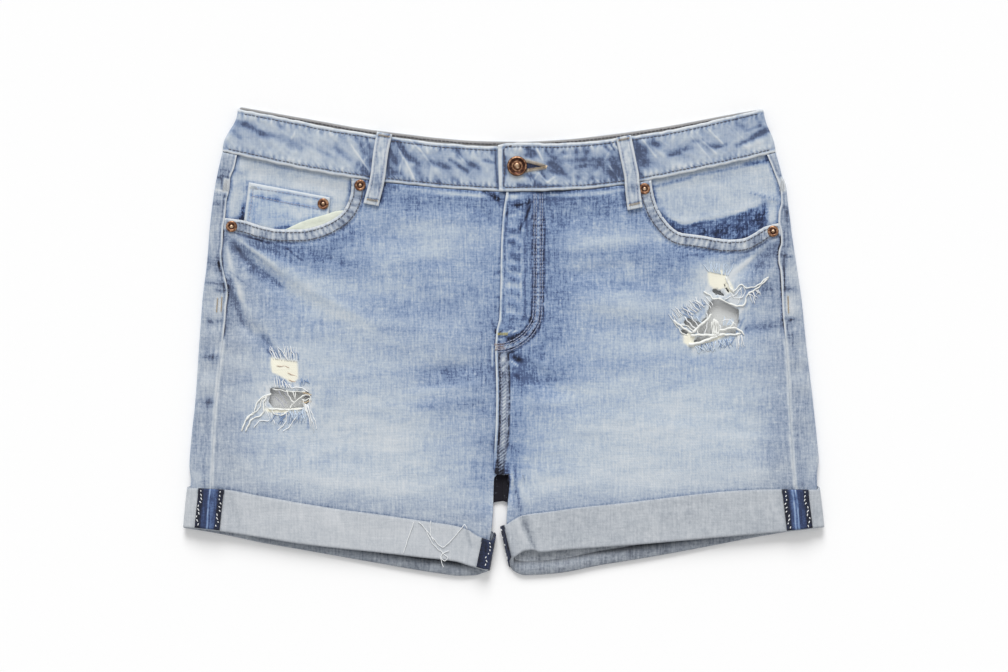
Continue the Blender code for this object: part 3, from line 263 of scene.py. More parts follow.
# Thin marks in the wash of each place, many of them painted shadow lines under hems, the band
# and the loops, and painted shade of creases: px, py to px, py, half width (mm), change of wash
MARKS = {
    "band": [
        (236, 122, 246, 126, 3, 0.35), (246, 124, 262, 134, 3, 0.4), (262, 134, 280, 138, 2.5, 0.25),
        (232, 130, 240, 138, 3, 0.3), (280, 126, 283, 128, 2, 0.25), (284, 138, 300, 148, 3.5, 0.32),
        (300, 140, 312, 146, 2.5, 0.2), (318, 150, 334, 158, 2, 0.22), (336, 148, 350, 160, 2.5, 0.22),
        (340, 137, 346, 140, 2, 0.2), (356, 140, 364, 144, 2.5, 0.25), (362, 148, 370, 162, 4, 0.42),
        (360, 166, 370, 176, 4, 0.5), (366, 138, 371, 150, 2, 0.35), (292, 140, 297, 130, 0.6, -0.4),
        (352, 146, 370, 172, 0.6, -0.6), (357, 172, 368, 156, 0.6, -0.6), (361, 150, 372, 140, 0.6, -0.45),
        (396, 142, 402, 148, 2.5, 0.45), (400, 146, 410, 160, 2.2, 0.45), (390, 152, 396, 164, 3, 0.4),
        (388, 168, 398, 176, 3, 0.35), (412, 158, 420, 166, 2.5, 0.35), (412, 140, 418, 146, 2, 0.3),
        (430, 162, 450, 168, 3, 0.4), (455, 150, 461, 158, 2, 0.5), (450, 160, 468, 172, 1.8, 0.42),
        (466, 162, 478, 168, 2.5, 0.45), (484, 161, 494, 163, 1.6, 0.45), (400, 172, 404, 178, 2.5, 0.35),
        (416, 170, 424, 180, 3, 0.3), (436, 178, 440, 184, 2, 0.3), (452, 178, 460, 184, 2, 0.25),
        (495, 149, 497.5, 188, 1.5, 0.5), (503.2, 151, 503.8, 186, 0.8, 0.6),
        (397, 145, 403, 158, 0.8, -0.6), (403, 158, 398, 178, 0.6, -0.6), (404, 158, 416, 182, 0.7, -0.6),
        (426, 146, 428, 154, 0.9, -0.4), (420, 150, 432, 166, 0.7, -0.45), (432, 166, 430, 184, 0.6, -0.45),
        (456, 152, 466, 164, 0.7, -0.5), (410, 140, 422, 152, 0.7, -0.4), (510, 151, 520, 150, 4, -0.3),
        (508, 181, 524, 179, 3, -0.3), (526, 150, 534, 156, 3, 0.45), (547, 152, 556, 160, 3, 0.35),
        (550, 164, 560, 170, 3, 0.4), (528, 174, 536, 184, 2, 0.4), (541, 173, 545, 180, 2, 0.45),
        (520, 186, 560, 186.5, 1.3, 0.35), (562, 154, 564, 153, 2.5, 0.35), (575, 153, 577, 153, 2.5, 0.35),
        (586, 152, 588, 152, 2.2, 0.35), (566, 176, 568, 178, 2.5, 0.25), (577, 178, 579, 178, 2.2, 0.3),
        (591, 178, 593, 178, 2.5, 0.35), (575, 168, 592, 165, 1.6, 0.35), (560, 162, 600, 160, 2.2, 0.25),
        (596, 168, 604, 160, 3, 0.35), (606, 172, 616, 178, 4, 0.45), (612, 160, 617, 175, 3, 0.45),
        (604, 146, 610, 152, 2, 0.4), (537, 150, 542, 160, 0.8, -0.6), (527, 170, 533, 182, 0.6, -0.6),
        (533, 182, 538, 174, 0.6, -0.55), (539, 174, 547, 183, 0.8, -0.65), (547, 183, 555, 177, 0.8, -0.6),
        (613, 146, 602, 164, 0.6, -0.5), (609, 166, 620, 182, 0.6, -0.6), (634, 146, 644, 160, 5, 0.4),
        (640, 162, 650, 168, 3, 0.22), (636, 172, 642, 178, 2.5, 0.35), (650, 142, 658, 146, 3, 0.28),
        (668, 154, 690, 148, 2.6, 0.28), (706, 146, 716, 147, 2.6, 0.32), (716, 148, 726, 145, 1.2, 0.35),
        (650, 143, 658, 146, 2.6, 0.2), (690, 142, 702, 141, 1.6, 0.2), (668, 156, 680, 154, 1.6, 0.35),
        (736, 146, 752, 139, 1.8, 0.4), (752, 138, 768, 130, 2.4, 0.7), (738, 126, 744, 128, 2.6, 0.28),
        (745, 132, 760, 126, 1.4, 0.28), (756, 120, 762, 128, 2.5, 0.2), (642, 140, 656, 158, 0.7, -0.5),
        (706, 128, 724, 146, 0.7, -0.45), (700, 140, 716, 154, 0.7, -0.45),
        (690, 136, 712, 162, 0.5, -0.35), (740, 150, 770, 138, 2.4, -0.22),
        (611.5, 141, 616, 148, 0.7, -0.75), (616, 148, 620, 151, 0.7, -0.7),
        (609.5, 143, 614, 150.5, 0.8, 0.6), (640, 146, 645, 152, 2, 0.3), (387, 150, 390, 175, 1.4, 0.35),
        (530, 150, 534, 153, 2, 0.3), (504.5, 158, 505.5, 174, 1.8, 0.6), (524, 156, 532, 158, 1.6, 0.3),
        (524, 176, 536, 176, 1.4, 0.3), (550, 172, 566, 174, 2, 0.25)],
    "strip": [
        (222, 170, 231, 171, 1.8, 0.3), (216, 177, 232, 178, 0.9, 0.75), (222.7, 180, 222.4, 189, 0.9, 0.7),
        (217, 194, 228, 196, 1, 0.55), (216, 204, 224, 204, 2, 0.35), (226.5, 180, 226.5, 190, 2.8, -1),
        (217, 191, 226, 191.6, 0.9, -0.4), (221, 256, 224, 262, 1.2, 0.35),
        (206, 283, 226, 283.5, 1.6, 0.45), (216, 290, 228, 290.5, 1.4, 0.45),
        (223, 284, 226, 290, 1.6, 0.4), (219, 262, 224, 276, 1.6, 0.35),
        (220.5, 297, 219.5, 313, 3.2, -0.42), (788.5, 293, 789.5, 314, 3, -0.32),
        (208, 321, 222, 321, 1.2, 0.3), (207, 357, 216, 358, 1.8, 0.25), (779.5, 176, 785, 176.5, 0.7, 0.6),
        (781, 180, 783, 190, 2.8, -0.9), (782, 194, 786, 193, 0.7, 0.5), (784, 207, 787, 213, 2, 0.5),
        (786, 214, 789, 226, 2.4, 0.35), (780, 255, 791, 257, 1.2, 0.5), (783, 258, 784.5, 290, 0.8, 0.65),
        (784, 238, 782, 254, 2.4, 0.12), (782, 176, 786, 177, 1, 0.4), (785, 289, 792, 290, 1.5, 0.45),
        (784, 319, 795, 320, 0.9, 0.5), (787, 337, 797, 333, 2.6, 0.3), (208, 319, 214, 324, 1, 0.35),
        (208, 356, 218, 357, 2.4, 0.3), (207, 402, 213, 402, 2, 0.25)],
    "left": [
        (238, 234, 262, 241.5, 1, 0.8), (262, 241.5, 288, 249, 0.9, 0.75), (288, 249, 304, 262, 0.9, 0.65),
        (250, 242, 278, 254, 3.4, 0.24), (484, 192, 498, 197, 1.8, 0.65), (490, 197, 500, 199, 2.2, 0.55),
        (386, 186, 400, 189, 1.4, 0.45), (440, 193, 484, 196.5, 1.2, -0.2), (276, 252, 296, 264, 2.6, 0.2),
        (240, 240, 262, 256, 1.2, -0.36), (262, 256, 276, 266, 2, -0.18), (228, 237, 240, 250, 2.4, 0.34),
        (238, 250, 252, 268, 4.4, 0.34), (252, 268, 264, 278, 3.4, 0.36), (262, 270, 284, 288, 2, 0.32),
        (227, 246, 231, 266, 2, -0.3), (232, 270, 242, 300, 2.6, -0.24), (231, 272, 246, 284, 0.9, 0.32),
        (230, 286, 244, 326, 1.5, 0.26), (353, 187, 362, 192, 1.2, 0.35), (385, 187, 398, 189.5, 1.5, 0.45),
        (398, 190, 420, 192, 1, 0.25), (486, 193, 499, 199, 1.8, 0.6), (496, 198, 500, 206, 1.6, 0.4),
        (392, 193, 480, 197, 1, -0.16), (420, 198, 428, 200, 2, -0.16), (493, 322, 496, 334, 1.6, 0.6),
        (308.5, 416, 308.8, 429, 0.8, 0.55), (262, 344, 272, 357, 1.4, 0.3),
        (492.5, 345, 492, 366, 0.8, -0.5), (490.5, 345, 490.5, 366, 0.6, 0.35)],
    "right": [
        (766, 255, 777, 256, 1.5, 0.4), (776, 246, 756, 270, 3, 0.22), (768, 286, 773, 293, 1.5, 0.45),
        (762, 294, 768, 288, 1.5, 0.3), (508, 198, 520, 196, 2.6, -0.35), (512, 206, 528, 203, 3, 0.45),
        (508, 214, 516, 208, 2.4, 0.25), (534, 198, 527, 210, 1, -0.4), (533.5, 199, 528, 212, 0.8, 0.45),
        (528, 212, 521, 229, 0.8, 0.5), (524, 214, 519, 232, 1, 0.35), (528, 214, 522, 232, 1.2, -0.2),
        (550, 194, 556, 196, 1.2, -0.4), (556, 196, 584, 195.5, 0.8, -0.35),
        (590, 194, 612, 193, 0.8, -0.25), (538, 192, 544, 200, 2, 0.4), (560, 191, 616, 188, 0.9, 0.3),
        (502, 322, 516, 331, 1, 0.35), (503, 331, 514, 331.5, 0.7, -0.45),
        (514, 331.5, 526, 327.5, 0.7, -0.45), (510, 336.5, 526, 333, 3.6, 0.62),
        (508, 331, 520, 331.5, 0.9, -0.55), (520, 331.5, 529, 328, 0.9, -0.45),
        (516, 350, 534, 341, 3.2, -0.24), (510, 352, 511.5, 361, 0.9, -0.4),
        (511.5, 361, 519, 367, 0.9, -0.34), (508, 353, 509, 386, 1.3, 0.45),
        (500, 338, 504, 343, 2.4, -0.2), (511, 357, 520, 360, 2, 0.35), (522, 312, 533, 322, 3, 0.3),
        (510, 338, 516, 336, 2, 0.35), (499, 331, 508, 331.5, 0.9, 0.75),
        (499, 336.5, 508, 336.5, 0.9, 0.75), (500, 340, 504, 341, 1.2, -0.3), (511, 352, 526, 362, 3, 0.28),
        (512, 372, 524, 384, 2, 0.25), (508, 350, 509.5, 360, 0.7, -0.45),
        (509.5, 360, 518, 366, 0.8, -0.45), (512, 448, 514.5, 466, 1.2, 0.25),
        (514.5, 466, 517, 490, 1.2, 0.62), (517, 490, 520.5, 510, 1.2, 0.45),
        (511, 470, 513, 500, 1.3, -0.2), (508, 462, 509, 480, 1.4, 0.5),
        (509.5, 482, 508.5, 496, 1.1, 0.35)],
    "facing_right": [
        (652, 187, 690, 178, 1.4, 0.55), (690, 176, 742, 167, 1, 0.4), (744, 165, 767, 161, 1.8, 0.75),
        (653, 190, 656, 202, 1.8, 0.4), (750, 193, 778, 200.5, 1, 0.4), (764, 202, 764, 226, 3, 0.25),
        (660, 200, 664, 214, 1.6, 0.25)],
    "facing_left": [
        (351.5, 182, 347, 203, 1.8, 0.5), (243.2, 206, 241.5, 221, 1.5, 0.95),
        (236, 158, 350, 182, 1.2, 0.22), (230, 176, 226, 214, 2, 0.18), (268, 164, 300, 176, 4, 0.1)],
    "coin": [
        (276, 228.5, 290, 227, 1.2, 0.8), (254, 204, 254, 222, 1, 0.3), (276, 196, 278, 201, 2, 0.3),
        (262, 193, 264, 199, 1.5, 0.24), (294, 199, 297, 204, 1.8, 0.24), (252, 196, 328, 211.5, 0.9, 0.26),
        (300, 222, 320, 214, 1.2, 0.2)],
    "cuff_left": [
        (414, 520, 440, 517, 1.5, -0.1), (466, 524, 472, 548, 1.4, 0.18), (470, 530, 476, 556, 1.6, -0.1),
        (232, 492, 240, 524, 2, 0.14), (340, 506, 350, 536, 2, 0.1), (300, 500, 306, 530, 2.6, -0.08)],
    "cuff_right": [
        (522, 515, 525, 522, 2.6, 0.14), (525, 522, 528, 531, 2.6, 0.18), (528, 531, 532, 541, 2.4, 0.18),
        (532, 541, 535, 547, 1.6, 0.24), (518, 520, 526, 540, 2.2, -0.14), (512, 530, 514, 556, 2, 0.12),
        (506, 530, 514, 564, 1.4, 0.18), (640, 502, 650, 532, 2, 0.1), (762, 490, 774, 520, 2, 0.12)]}
# Wash of each place before its fades, painted shade and marks
BASE_WASH = {"left": 0.46, "right": 0.46, "band": 0.37, "strip": 0.42, "cuff_left": 0.20,
             "cuff_right": 0.32, "facing_left": 0.15, "facing_right": 0.25, "coin": 0.30}
BAND_DARK, BAND_PALE = 1.5, 0.8    # how much stronger the waistband's marks are

# ---------------------------------------------------------------- colours (sRGB, 0 to 255)
WASH_COLOURS = [(0.0, (207, 213, 218)), (0.25, (181, 194, 208)), (0.5, (148, 167, 196)),
                (0.75, (114, 138, 177)), (0.9, (84, 105, 146)), (1.0, (52, 66, 102)),
                (1.2, (27, 30, 43))]
# The wrong side's darkest stop serves the painted shade at the crotch.
WRONG_COLOURS = [(0.0, (206, 209, 213)), (0.3, (180, 185, 191)), (0.6, (150, 156, 164)),
                 (0.9, (108, 114, 124)), (1.2, (20, 19, 28))]
CREAM = (242, 239, 222)
INSIDE_BAND = (136, 129, 122)
THREADS = {"brown": (88, 86, 94), "tan": (214, 192, 158), "straw": (232, 210, 178),
           "grey": (178, 180, 194), "slate": (150, 158, 180), "white": (238, 240, 241),
           "cream": (236, 237, 233), "sky": (206, 220, 236), "blue": (136, 158, 192),
           "orange": (212, 196, 98), "copper": (182, 152, 136)}


# ---------------------------------------------------------------- maths
def seen(px, py):
    return (px - ZERO_PIXEL[0]) * PIXEL, (ZERO_PIXEL[1] - py) * PIXEL


def smooth(table, at):
    """Monotone cubic line through a table's first two columns, straight past its ends."""
    rows = sorted(table)
    xs = np.array([row[0] for row in rows], float)
    ys = np.array([row[1] for row in rows], float)
    step = np.diff(xs)
    rise = np.diff(ys) / step
    slope = np.zeros(len(xs))
    slope[0], slope[-1] = rise[0], rise[-1]
    same = rise[:-1] * rise[1:] > 0
    a, b = 2 * step[1:] + step[:-1], step[1:] + 2 * step[:-1]
    safe = np.where(same, rise[:-1] * rise[1:], 1.0)
    slope[1:-1] = np.where(same, (a + b) * safe / (a * rise[1:] + b * rise[:-1] + (~same)), 0.0)
    at = np.asarray(at, float)
    i = np.clip(np.searchsorted(xs, at) - 1, 0, len(step) - 1)
    t = np.clip((at - xs[i]) / step[i], 0, 1)
    h = step[i]
    inside = ((2 * t**3 - 3 * t**2 + 1) * ys[i] + (t**3 - 2 * t**2 + t) * h * slope[i]
              + (3 * t**2 - 2 * t**3) * ys[i + 1] + (t**3 - t**2) * h * slope[i + 1])
    before = np.minimum(at - xs[0], 0) * slope[0]
    after = np.maximum(at - xs[-1], 0) * slope[-1]
    return inside + before + after


def ramp(t):
    t = np.clip(t, 0, 1)
    return t * t * (3 - 2 * t)


def mix(a, b, t):
    return a * (1 - t) + b * t


def bump(d, half):
    return np.exp(-(d / half) ** 2)


def shares(columns, rows):
    return np.meshgrid(np.linspace(0, 1, columns), np.linspace(0, 1, rows))


def spread(u, v, outer, inner, top, bottom):
    """Points seen from above: u runs outer to inner edge, v runs top to bottom edge."""
    y = mix(150.0, -165.0, v) + 0 * u
    for _ in range(12):
        x = mix(outer(y), inner(y), u)
        y = mix(top(x), bottom(x), v)
    return x, y


def patchy(x, y, seed, length_x, length_y, turned=0.0):
    """Smooth random patches from -1 to 1, of a given size, turned by an angle in degrees."""
    table = np.random.default_rng(seed).uniform(-1, 1, (64, 64))
    a = math.radians(turned)
    u = (x * math.cos(a) + y * math.sin(a)) / length_x + 31.7
    v = (y * math.cos(a) - x * math.sin(a)) / length_y + 17.3
    i, j = np.floor(u).astype(int), np.floor(v).astype(int)
    s, t = ramp(u - i), ramp(v - j)
    i, j, k, m = i % 64, j % 64, (i + 1) % 64, (j + 1) % 64
    return mix(mix(table[i, j], table[k, j], s), mix(table[i, m], table[k, m], s), t)


def curve(points, step=2.0):
    """Evenly spaced points on a soft line through a few points."""
    points = np.asarray(points, float)
    far = np.concatenate([[0], np.cumsum(np.hypot(*np.diff(points, axis=0).T))])
    fine = np.linspace(0, far[-1], max(3, int(far[-1] / 0.5)))
    line = np.stack([smooth(list(zip(far, points[:, k])), fine) for k in (0, 1)], axis=1)
    far = np.concatenate([[0], np.cumsum(np.hypot(*np.diff(line, axis=0).T))])
    even = np.linspace(0, far[-1], max(2, int(round(far[-1] / step)) + 1))
    return np.stack([np.interp(even, far, line[:, k]) for k in (0, 1)], axis=1)


def seen_curve(pixels, step=2.0):
    return curve([seen(*p) for p in pixels], step)


def from_line(x, y, line):
    """Distance to a line, and how far along it the nearest place lies."""
    x, y = np.broadcast_arrays(np.asarray(x, float), np.asarray(y, float))
    best, place, start = np.full(x.shape, 1e9), np.zeros(x.shape), 0.0
    for (x0, y0), (x1, y1) in zip(line, line[1:]):
        dx, dy = x1 - x0, y1 - y0
        length = math.hypot(dx, dy)
        t = np.clip(((x - x0) * dx + (y - y0) * dy) / length**2, 0, 1)
        d = np.hypot(x - x0 - t * dx, y - y0 - t * dy)
        near = d < best
        best = np.where(near, d, best)
        place = np.where(near, start + t * length, place)
        start += length
    return best, place


def from_side_seam(side, x, y):
    return np.abs(x - smooth(SIDE_SEAM[side], y))


def below_band(x, y):
    return smooth(WAIST_SEAM, x) - y


def above_cuff(side, x, y):
    return y - smooth(CUFF_TOP[side], x)


def from_fly_edge(x, y):
    return x - smooth(FLY_EDGE, y)


def wave(turns, shift=0.0):
    return np.sin(2 * math.pi * turns + shift)


def within(x, y, outline):
    """True inside a closed outline."""
    x, y = np.broadcast_arrays(np.asarray(x, float), np.asarray(y, float))
    result = np.zeros(x.shape, bool)
    ring = list(outline)
    for (x0, y0), (x1, y1) in zip(ring, ring[1:] + ring[:1]):
        if y0 != y1:
            crossing = (y0 > y) != (y1 > y)
            result ^= crossing & (x < x0 + (y - y0) * (x1 - x0) / (y1 - y0))
    return result


def seen_outline(x, y, pixels):
    """Distance to a closed outline of pixels, negative inside it."""
    ring = [seen(*p) for p in pixels]
    d, _ = from_line(x, y, ring + ring[:1])
    return np.where(within(x, y, ring), -d, d)


# ---------------------------------------------------------------- heights of the layers
def segment_folds(x, y, rows, taper=0.55):
    """Sum of soft ridges; taper is how much of its height each keeps at its ends."""
    total = np.zeros(np.broadcast(x, y).shape)
    for x0, y0, x1, y1, half, height in rows:
        dx, dy = x1 - x0, y1 - y0
        near = np.clip(((x - x0) * dx + (y - y0) * dy) / (dx * dx + dy * dy), 0, 1)
        off = np.hypot(x - x0 - near * dx, y - y0 - near * dy)
        total = total + height * bump(off, half) * (taper + (1 - taper) * np.sin(math.pi * near))
    return total


def in_millimetres(rows):
    """Rows of a line's ends in pixels, with those turned into millimetres."""
    return [(*seen(*row[:2]), *seen(*row[2:4]), *row[4:]) for row in rows]


def marks(place, x, y):
    """Change of wash by the thin marks of a place."""
    return segment_folds(x, y, in_millimetres(MARKS[place]), 0.75)


def creases(side, x, y):
    return segment_folds(x, y, in_millimetres(CREASES[side]), 0.3)


MOUTH = {side: curve(POCKET_MOUTH[side], 4.0) for side in SIDES}
MOUTH_HEM = 10.5               # width of the hem along a pocket's mouth
# Middle of the fly's double row of stitches, in pixels
FLY_CURVE = seen_curve([(538.3, 194), (538.3, 250), (538.2, 290), (537.8, 307), (536.5, 319),
                        (530.5, 330.5), (522.5, 339), (512.5, 345), (504, 347.5), (497, 348)], 2.5)


def mouth_distance(side, x, y):
    """Distance from the mouth's edge, negative in the opening, and the place along it."""
    d, place = from_line(x, y, MOUTH[side])
    line = MOUTH[side]
    opening = [tuple(p) for p in line] + [(line[-1][0], 185.0), (line[0][0], 185.0)]
    return np.where(within(x, y, opening), -d, d), place


def pocket_rise(x, y):
    left = 1.1 * np.exp(-((x + 160) / 52) ** 4 - ((y - 92) / 34) ** 4)
    right = 0.4 * np.exp(-((x - 185) / 50) ** 4 - ((y - 88) / 30) ** 4)
    return left + right


def crotch_dip(x, y):
    return 2.9 * bump(x, 22) * ramp((-60 - y) / 50)


def front_height(side, x, y):
    """Middle of a front panel, its lap and turned-down inner edge left out."""
    near_band = ramp((22 - below_band(x, y)) / 20)
    near_cuff = ramp((44 - above_cuff(side, x, y)) / 42)
    clear = ramp((from_side_seam(side, x, y) - 2) / 12)
    body = FRONT + pocket_rise(x, y) + segment_folds(x, y, FOLDS) * clear - crotch_dip(x, y)
    return mix(mix(body, FRONT_AT_BAND + 0 * x, near_band), FRONT_AT_CUFF + 0 * x, near_cuff)


def back_height(side, x, y):
    top = smooth(CUFF_BOTTOM_BACK[side], x) + CUFF_WIDTH
    return mix(BACK, BACK_AT_CUFF, ramp((top + 36 - y) / 34))


def inseam_back(side, x, y):
    middle = (FRONT_AT_CUFF + BACK_AT_CUFF) / 2
    return mix(back_height(side, x, y), middle - (CLOTH + SEAM) / 2, ramp((-137 - y) / 18))


def rounding(distance, radius=8.0):
    """Height of a quarter circle, 0 at its edge and 1 from its radius on."""
    return np.sqrt(np.clip(1 - (1 - np.clip(distance / radius, 0, 1)) ** 2, 0, 1))


def front_panel_height(side, x, y):
    """Middle of a front panel: the solid's form with creases, hems and seam ridges added."""
    height = front_height(side, x, y) + front_relief(side, x, y)
    inner = smooth(FRONT_INNER[side], y)
    if side == "right":
        lap = ramp((38 - from_fly_edge(x, y)) / 20) * ramp((y + 126) / 12)
        height = height + LAP * lap
    edge = inseam_back(side, inner, y) + CLOTH + SEAM
    drop = (1 - rounding(np.abs(x - inner))) * ramp((-114 - y) / 14)
    return mix(height, edge, drop)


def front_relief(side, x, y):
    """Fine folds of a front, with the side seam's ridge and the hem of the pocket's mouth."""
    free = ramp((below_band(x, y) - 3) / 8) * ramp((above_cuff(side, x, y) - 2) / 16)
    from_side = from_side_seam(side, x, y)
    soft = 0.16 * patchy(x, y, 11, 30, 9) + 0.08 * patchy(x, y, 12, 11, 5)
    relief = (creases(side, x, y) * ramp((from_side - 3) / 8) + soft) * free
    relief = relief + 0.35 * bump(from_side - 1.2, 1.3) - 0.25 * bump(from_side - 3.8, 1.1)
    d, s = mouth_distance(side, x, y)
    hem = ramp((MOUTH_HEM + 0.8 - d) / 1.4) * ramp((d + 3) / 2)
    pucker = wave((s + 1.5 * np.sin(s / 9)) / 6.2) * bump(d - 6.2, 3.6)
    relief = relief + hem * (0.35 + 0.30 * pucker) - 0.3 * bump(d - MOUTH_HEM - 1.2, 1.0)
    relief = relief - 0.35 * bump(d, 1.2)
    if side == "right":
        relief = relief + fly_relief(x, y)
    return relief


def fly_relief(x, y):
    """The welt along the fly's edge, the zip's ridge, the stitched curve and the crotch seam."""
    edge = from_fly_edge(x, y)
    above = ramp((y + 6) / 10)
    welt = (0.40 * bump(edge - 1.0, 1.3) - 0.30 * bump(edge - 3.4, 1.2)) * ramp((y + 108) / 30)
    waves = 1 + 0.30 * wave((y + 0.3 * edge) / 10.5) + 0.3 * patchy(x, y, 36, 6, 4.5)
    zip_ridge = 0.55 * ramp((edge - 4) / 3) * ramp((20 - edge) / 3) * ramp((118 - y) / 8) * waves
    d, s = from_line(x, y, FLY_CURVE)
    puckers = 1 + 0.8 * wave(s / 3.4) + 0.6 * patchy(s, d, 35, 1.8, 2.2)
    sewn = 0.26 * bump(d, 1.6) * puckers - 0.34 * bump(d - 2.9, 0.9) - 0.18 * bump(d - 5.2, 1.4)
    ribs = 0.16 * wave((y - 0.7 * edge) / 3.1) * bump(edge - 6, 3)
    seam = crotch_seam(edge, y) * (0.25 + 0.45 * bump(edge - 6, 2.6) + ribs)
    return above * zip_ridge + welt + sewn * ramp((112 - y) / 8) + seam


def facing_height(side, x, y):
    near_band = ramp((13 - below_band(x, y)) / 11)
    near_side = ramp((15 - from_side_seam(side, x, y)) / 13) * ramp((y - 88) / 12)
    low = FACING_LEFT if side == "left" else FACING_RIGHT
    return mix(mix(low, FACING_AT_SIDE, near_side), FACING_AT_BAND, near_band)


# ---------------------------------------------------------------- holes
FAR = 99.0                      # distance from the holes where they don't matter


def hole_distance(side, x, y):
    """Ragged distance to the edge of the nearest worn hole, negative inside it."""
    x, y = np.broadcast_arrays(np.asarray(x, float), np.asarray(y, float))
    best = np.full(x.shape, FAR)
    corners = np.array([seen(*p) for shape in HOLE_SHAPES[side] for p in shape])
    low, high = corners.min(0) - 12, corners.max(0) + 12
    near = (x > low[0]) & (x < high[0]) & (y > low[1]) & (y < high[1])
    if not near.any():
        return best
    u, v = x[near], y[near]
    closest = np.min([seen_outline(u, v, shape) for shape in HOLE_SHAPES[side]], axis=0)
    best[near] = closest + 0.35 * patchy(u, v, 21, 2.6, 2.6)
    return best


def snap(x, y, level, reach):
    """Move grid points that lie near level zero onto it; returns x, y and the new levels."""
    g = level(x, y)
    e = 0.1
    for _ in range(2):
        near = np.abs(g) < reach
        px, py = x[near], y[near]
        gx = (level(px + e, py) - level(px - e, py)) / (2 * e)
        gy = (level(px, py + e) - level(px, py - e)) / (2 * e)
        size = np.maximum(gx * gx + gy * gy, 0.25)
        x[near] = px - np.clip(g[near] * gx / size, -reach, reach)
        y[near] = py - np.clip(g[near] * gy / size, -reach, reach)
        g = np.where(near, 0.0, g)
    return x, y, g


def kept_cells(g, centre):
    corners = np.stack([g[:-1, :-1], g[1:, :-1], g[:-1, 1:], g[1:, 1:]])
    low, high = corners.min(0), corners.max(0)
    return ~((low < 0) | ((high <= 0) & (centre < 0)))


# ---------------------------------------------------------------- mesh builders
POINT_VALUES = ("wash", "inside", "cream")


def metres(points):
    return (np.asarray(points, float) - (CENTRE[0], CENTRE[1], 0)) * MM


def new_object(name, points, faces, materials, face_materials=None, values=None):
    """A smooth mesh; materials are names, and values hold a number for each point."""
    mesh = bpy.data.meshes.new(name)
    mesh.from_pydata(metres(points).tolist(), [], faces)
    for made in materials:
        mesh.materials.append(MATERIALS[made])
    if face_materials is not None:
        mesh.polygons.foreach_set("material_index", np.asarray(face_materials, np.int32))
    shape = bmesh.new()
    shape.from_mesh(mesh)
    bmesh.ops.recalc_face_normals(shape, faces=shape.faces)
    shape.to_mesh(mesh)
    shape.free()
    mesh.shade_smooth()
    for key, numbers in (values or {}).items():
        layer = mesh.attributes.new(key, "FLOAT", "POINT")
        layer.data.foreach_set("value", np.asarray(numbers, np.float32).ravel())
    thing = bpy.data.objects.new(name, mesh)
    bpy.context.scene.collection.objects.link(thing)
    return thing


def grid_normals(grid):
    normal = np.cross(np.gradient(grid, axis=1), np.gradient(grid, axis=0))
    return normal / np.maximum(np.linalg.norm(normal, axis=2, keepdims=True), 1e-9)


def two_sided(name, upper, lower, made, values, underside=None, keep=None):
    """Closed shell of two grids of points, without underside alike on both; keep drops cells."""
    rows, columns = upper.shape[:2]
    count = rows * columns
    if keep is None:
        keep = np.ones((rows - 1, columns - 1), bool)
    i, j = np.nonzero(keep)
    a = i * columns + j
    top = np.stack([a, a + 1, a + columns + 1, a + columns], axis=1)
    edges = np.concatenate([top[:, [k, (k + 1) % 4]] for k in range(4)])
    _, first, times = np.unique(np.sort(edges, axis=1), axis=0, return_index=True, return_counts=True)
    rim = edges[first[times == 1]]
    walls = np.stack([rim[:, 0], rim[:, 1], rim[:, 1] + count, rim[:, 0] + count], axis=1)
    faces = np.concatenate([top, top[:, ::-1] + count, walls])
    used = np.zeros(2 * count, bool)
    used[faces.ravel()] = True
    index = np.cumsum(used) - 1
    full = {}
    for key in POINT_VALUES:
        above = np.broadcast_to(values.get(key, 0.0), (rows, columns))
        below = np.broadcast_to((underside or {}).get(key, above), (rows, columns))
        full[key] = np.stack([above, below]).ravel()[used]
    points = np.concatenate([upper.reshape(-1, 3), lower.reshape(-1, 3)])
    return new_object(name, points[used], index[faces].tolist(), [made], values=full)


def cloth(name, grid, thick, made, values, keep=None, underside=None):
    """Thin closed shell round a grid of middle points; keep drops cells for openings."""
    half = grid_normals(grid) * thick / 2
    if half[..., 2].mean() < 0:
        half = -half
    return two_sided(name, grid + half, grid - half, made, values, underside, keep)


def loft(name, points, made, values, closed):
    """Closed surface through stations by sides of points; an open row of stations is capped."""
    stations, sides = points.shape[:2]
    i, j = np.meshgrid(np.arange(stations if closed else stations - 1), np.arange(sides),
                       indexing="ij")
    i, j = i.ravel(), j.ravel()
    k, m = (i + 1) % stations, (j + 1) % sides
    faces = np.stack([i * sides + j, i * sides + m, k * sides + m, k * sides + j], axis=1).tolist()
    if not closed:
        faces += [list(range(sides)), [(stations - 1) * sides + j for j in range(sides)]]
    full = {key: np.broadcast_to(values.get(key, 0.0), (stations, sides)) for key in POINT_VALUES}
    return new_object(name, points.reshape(-1, 3), faces, [made], values=full)


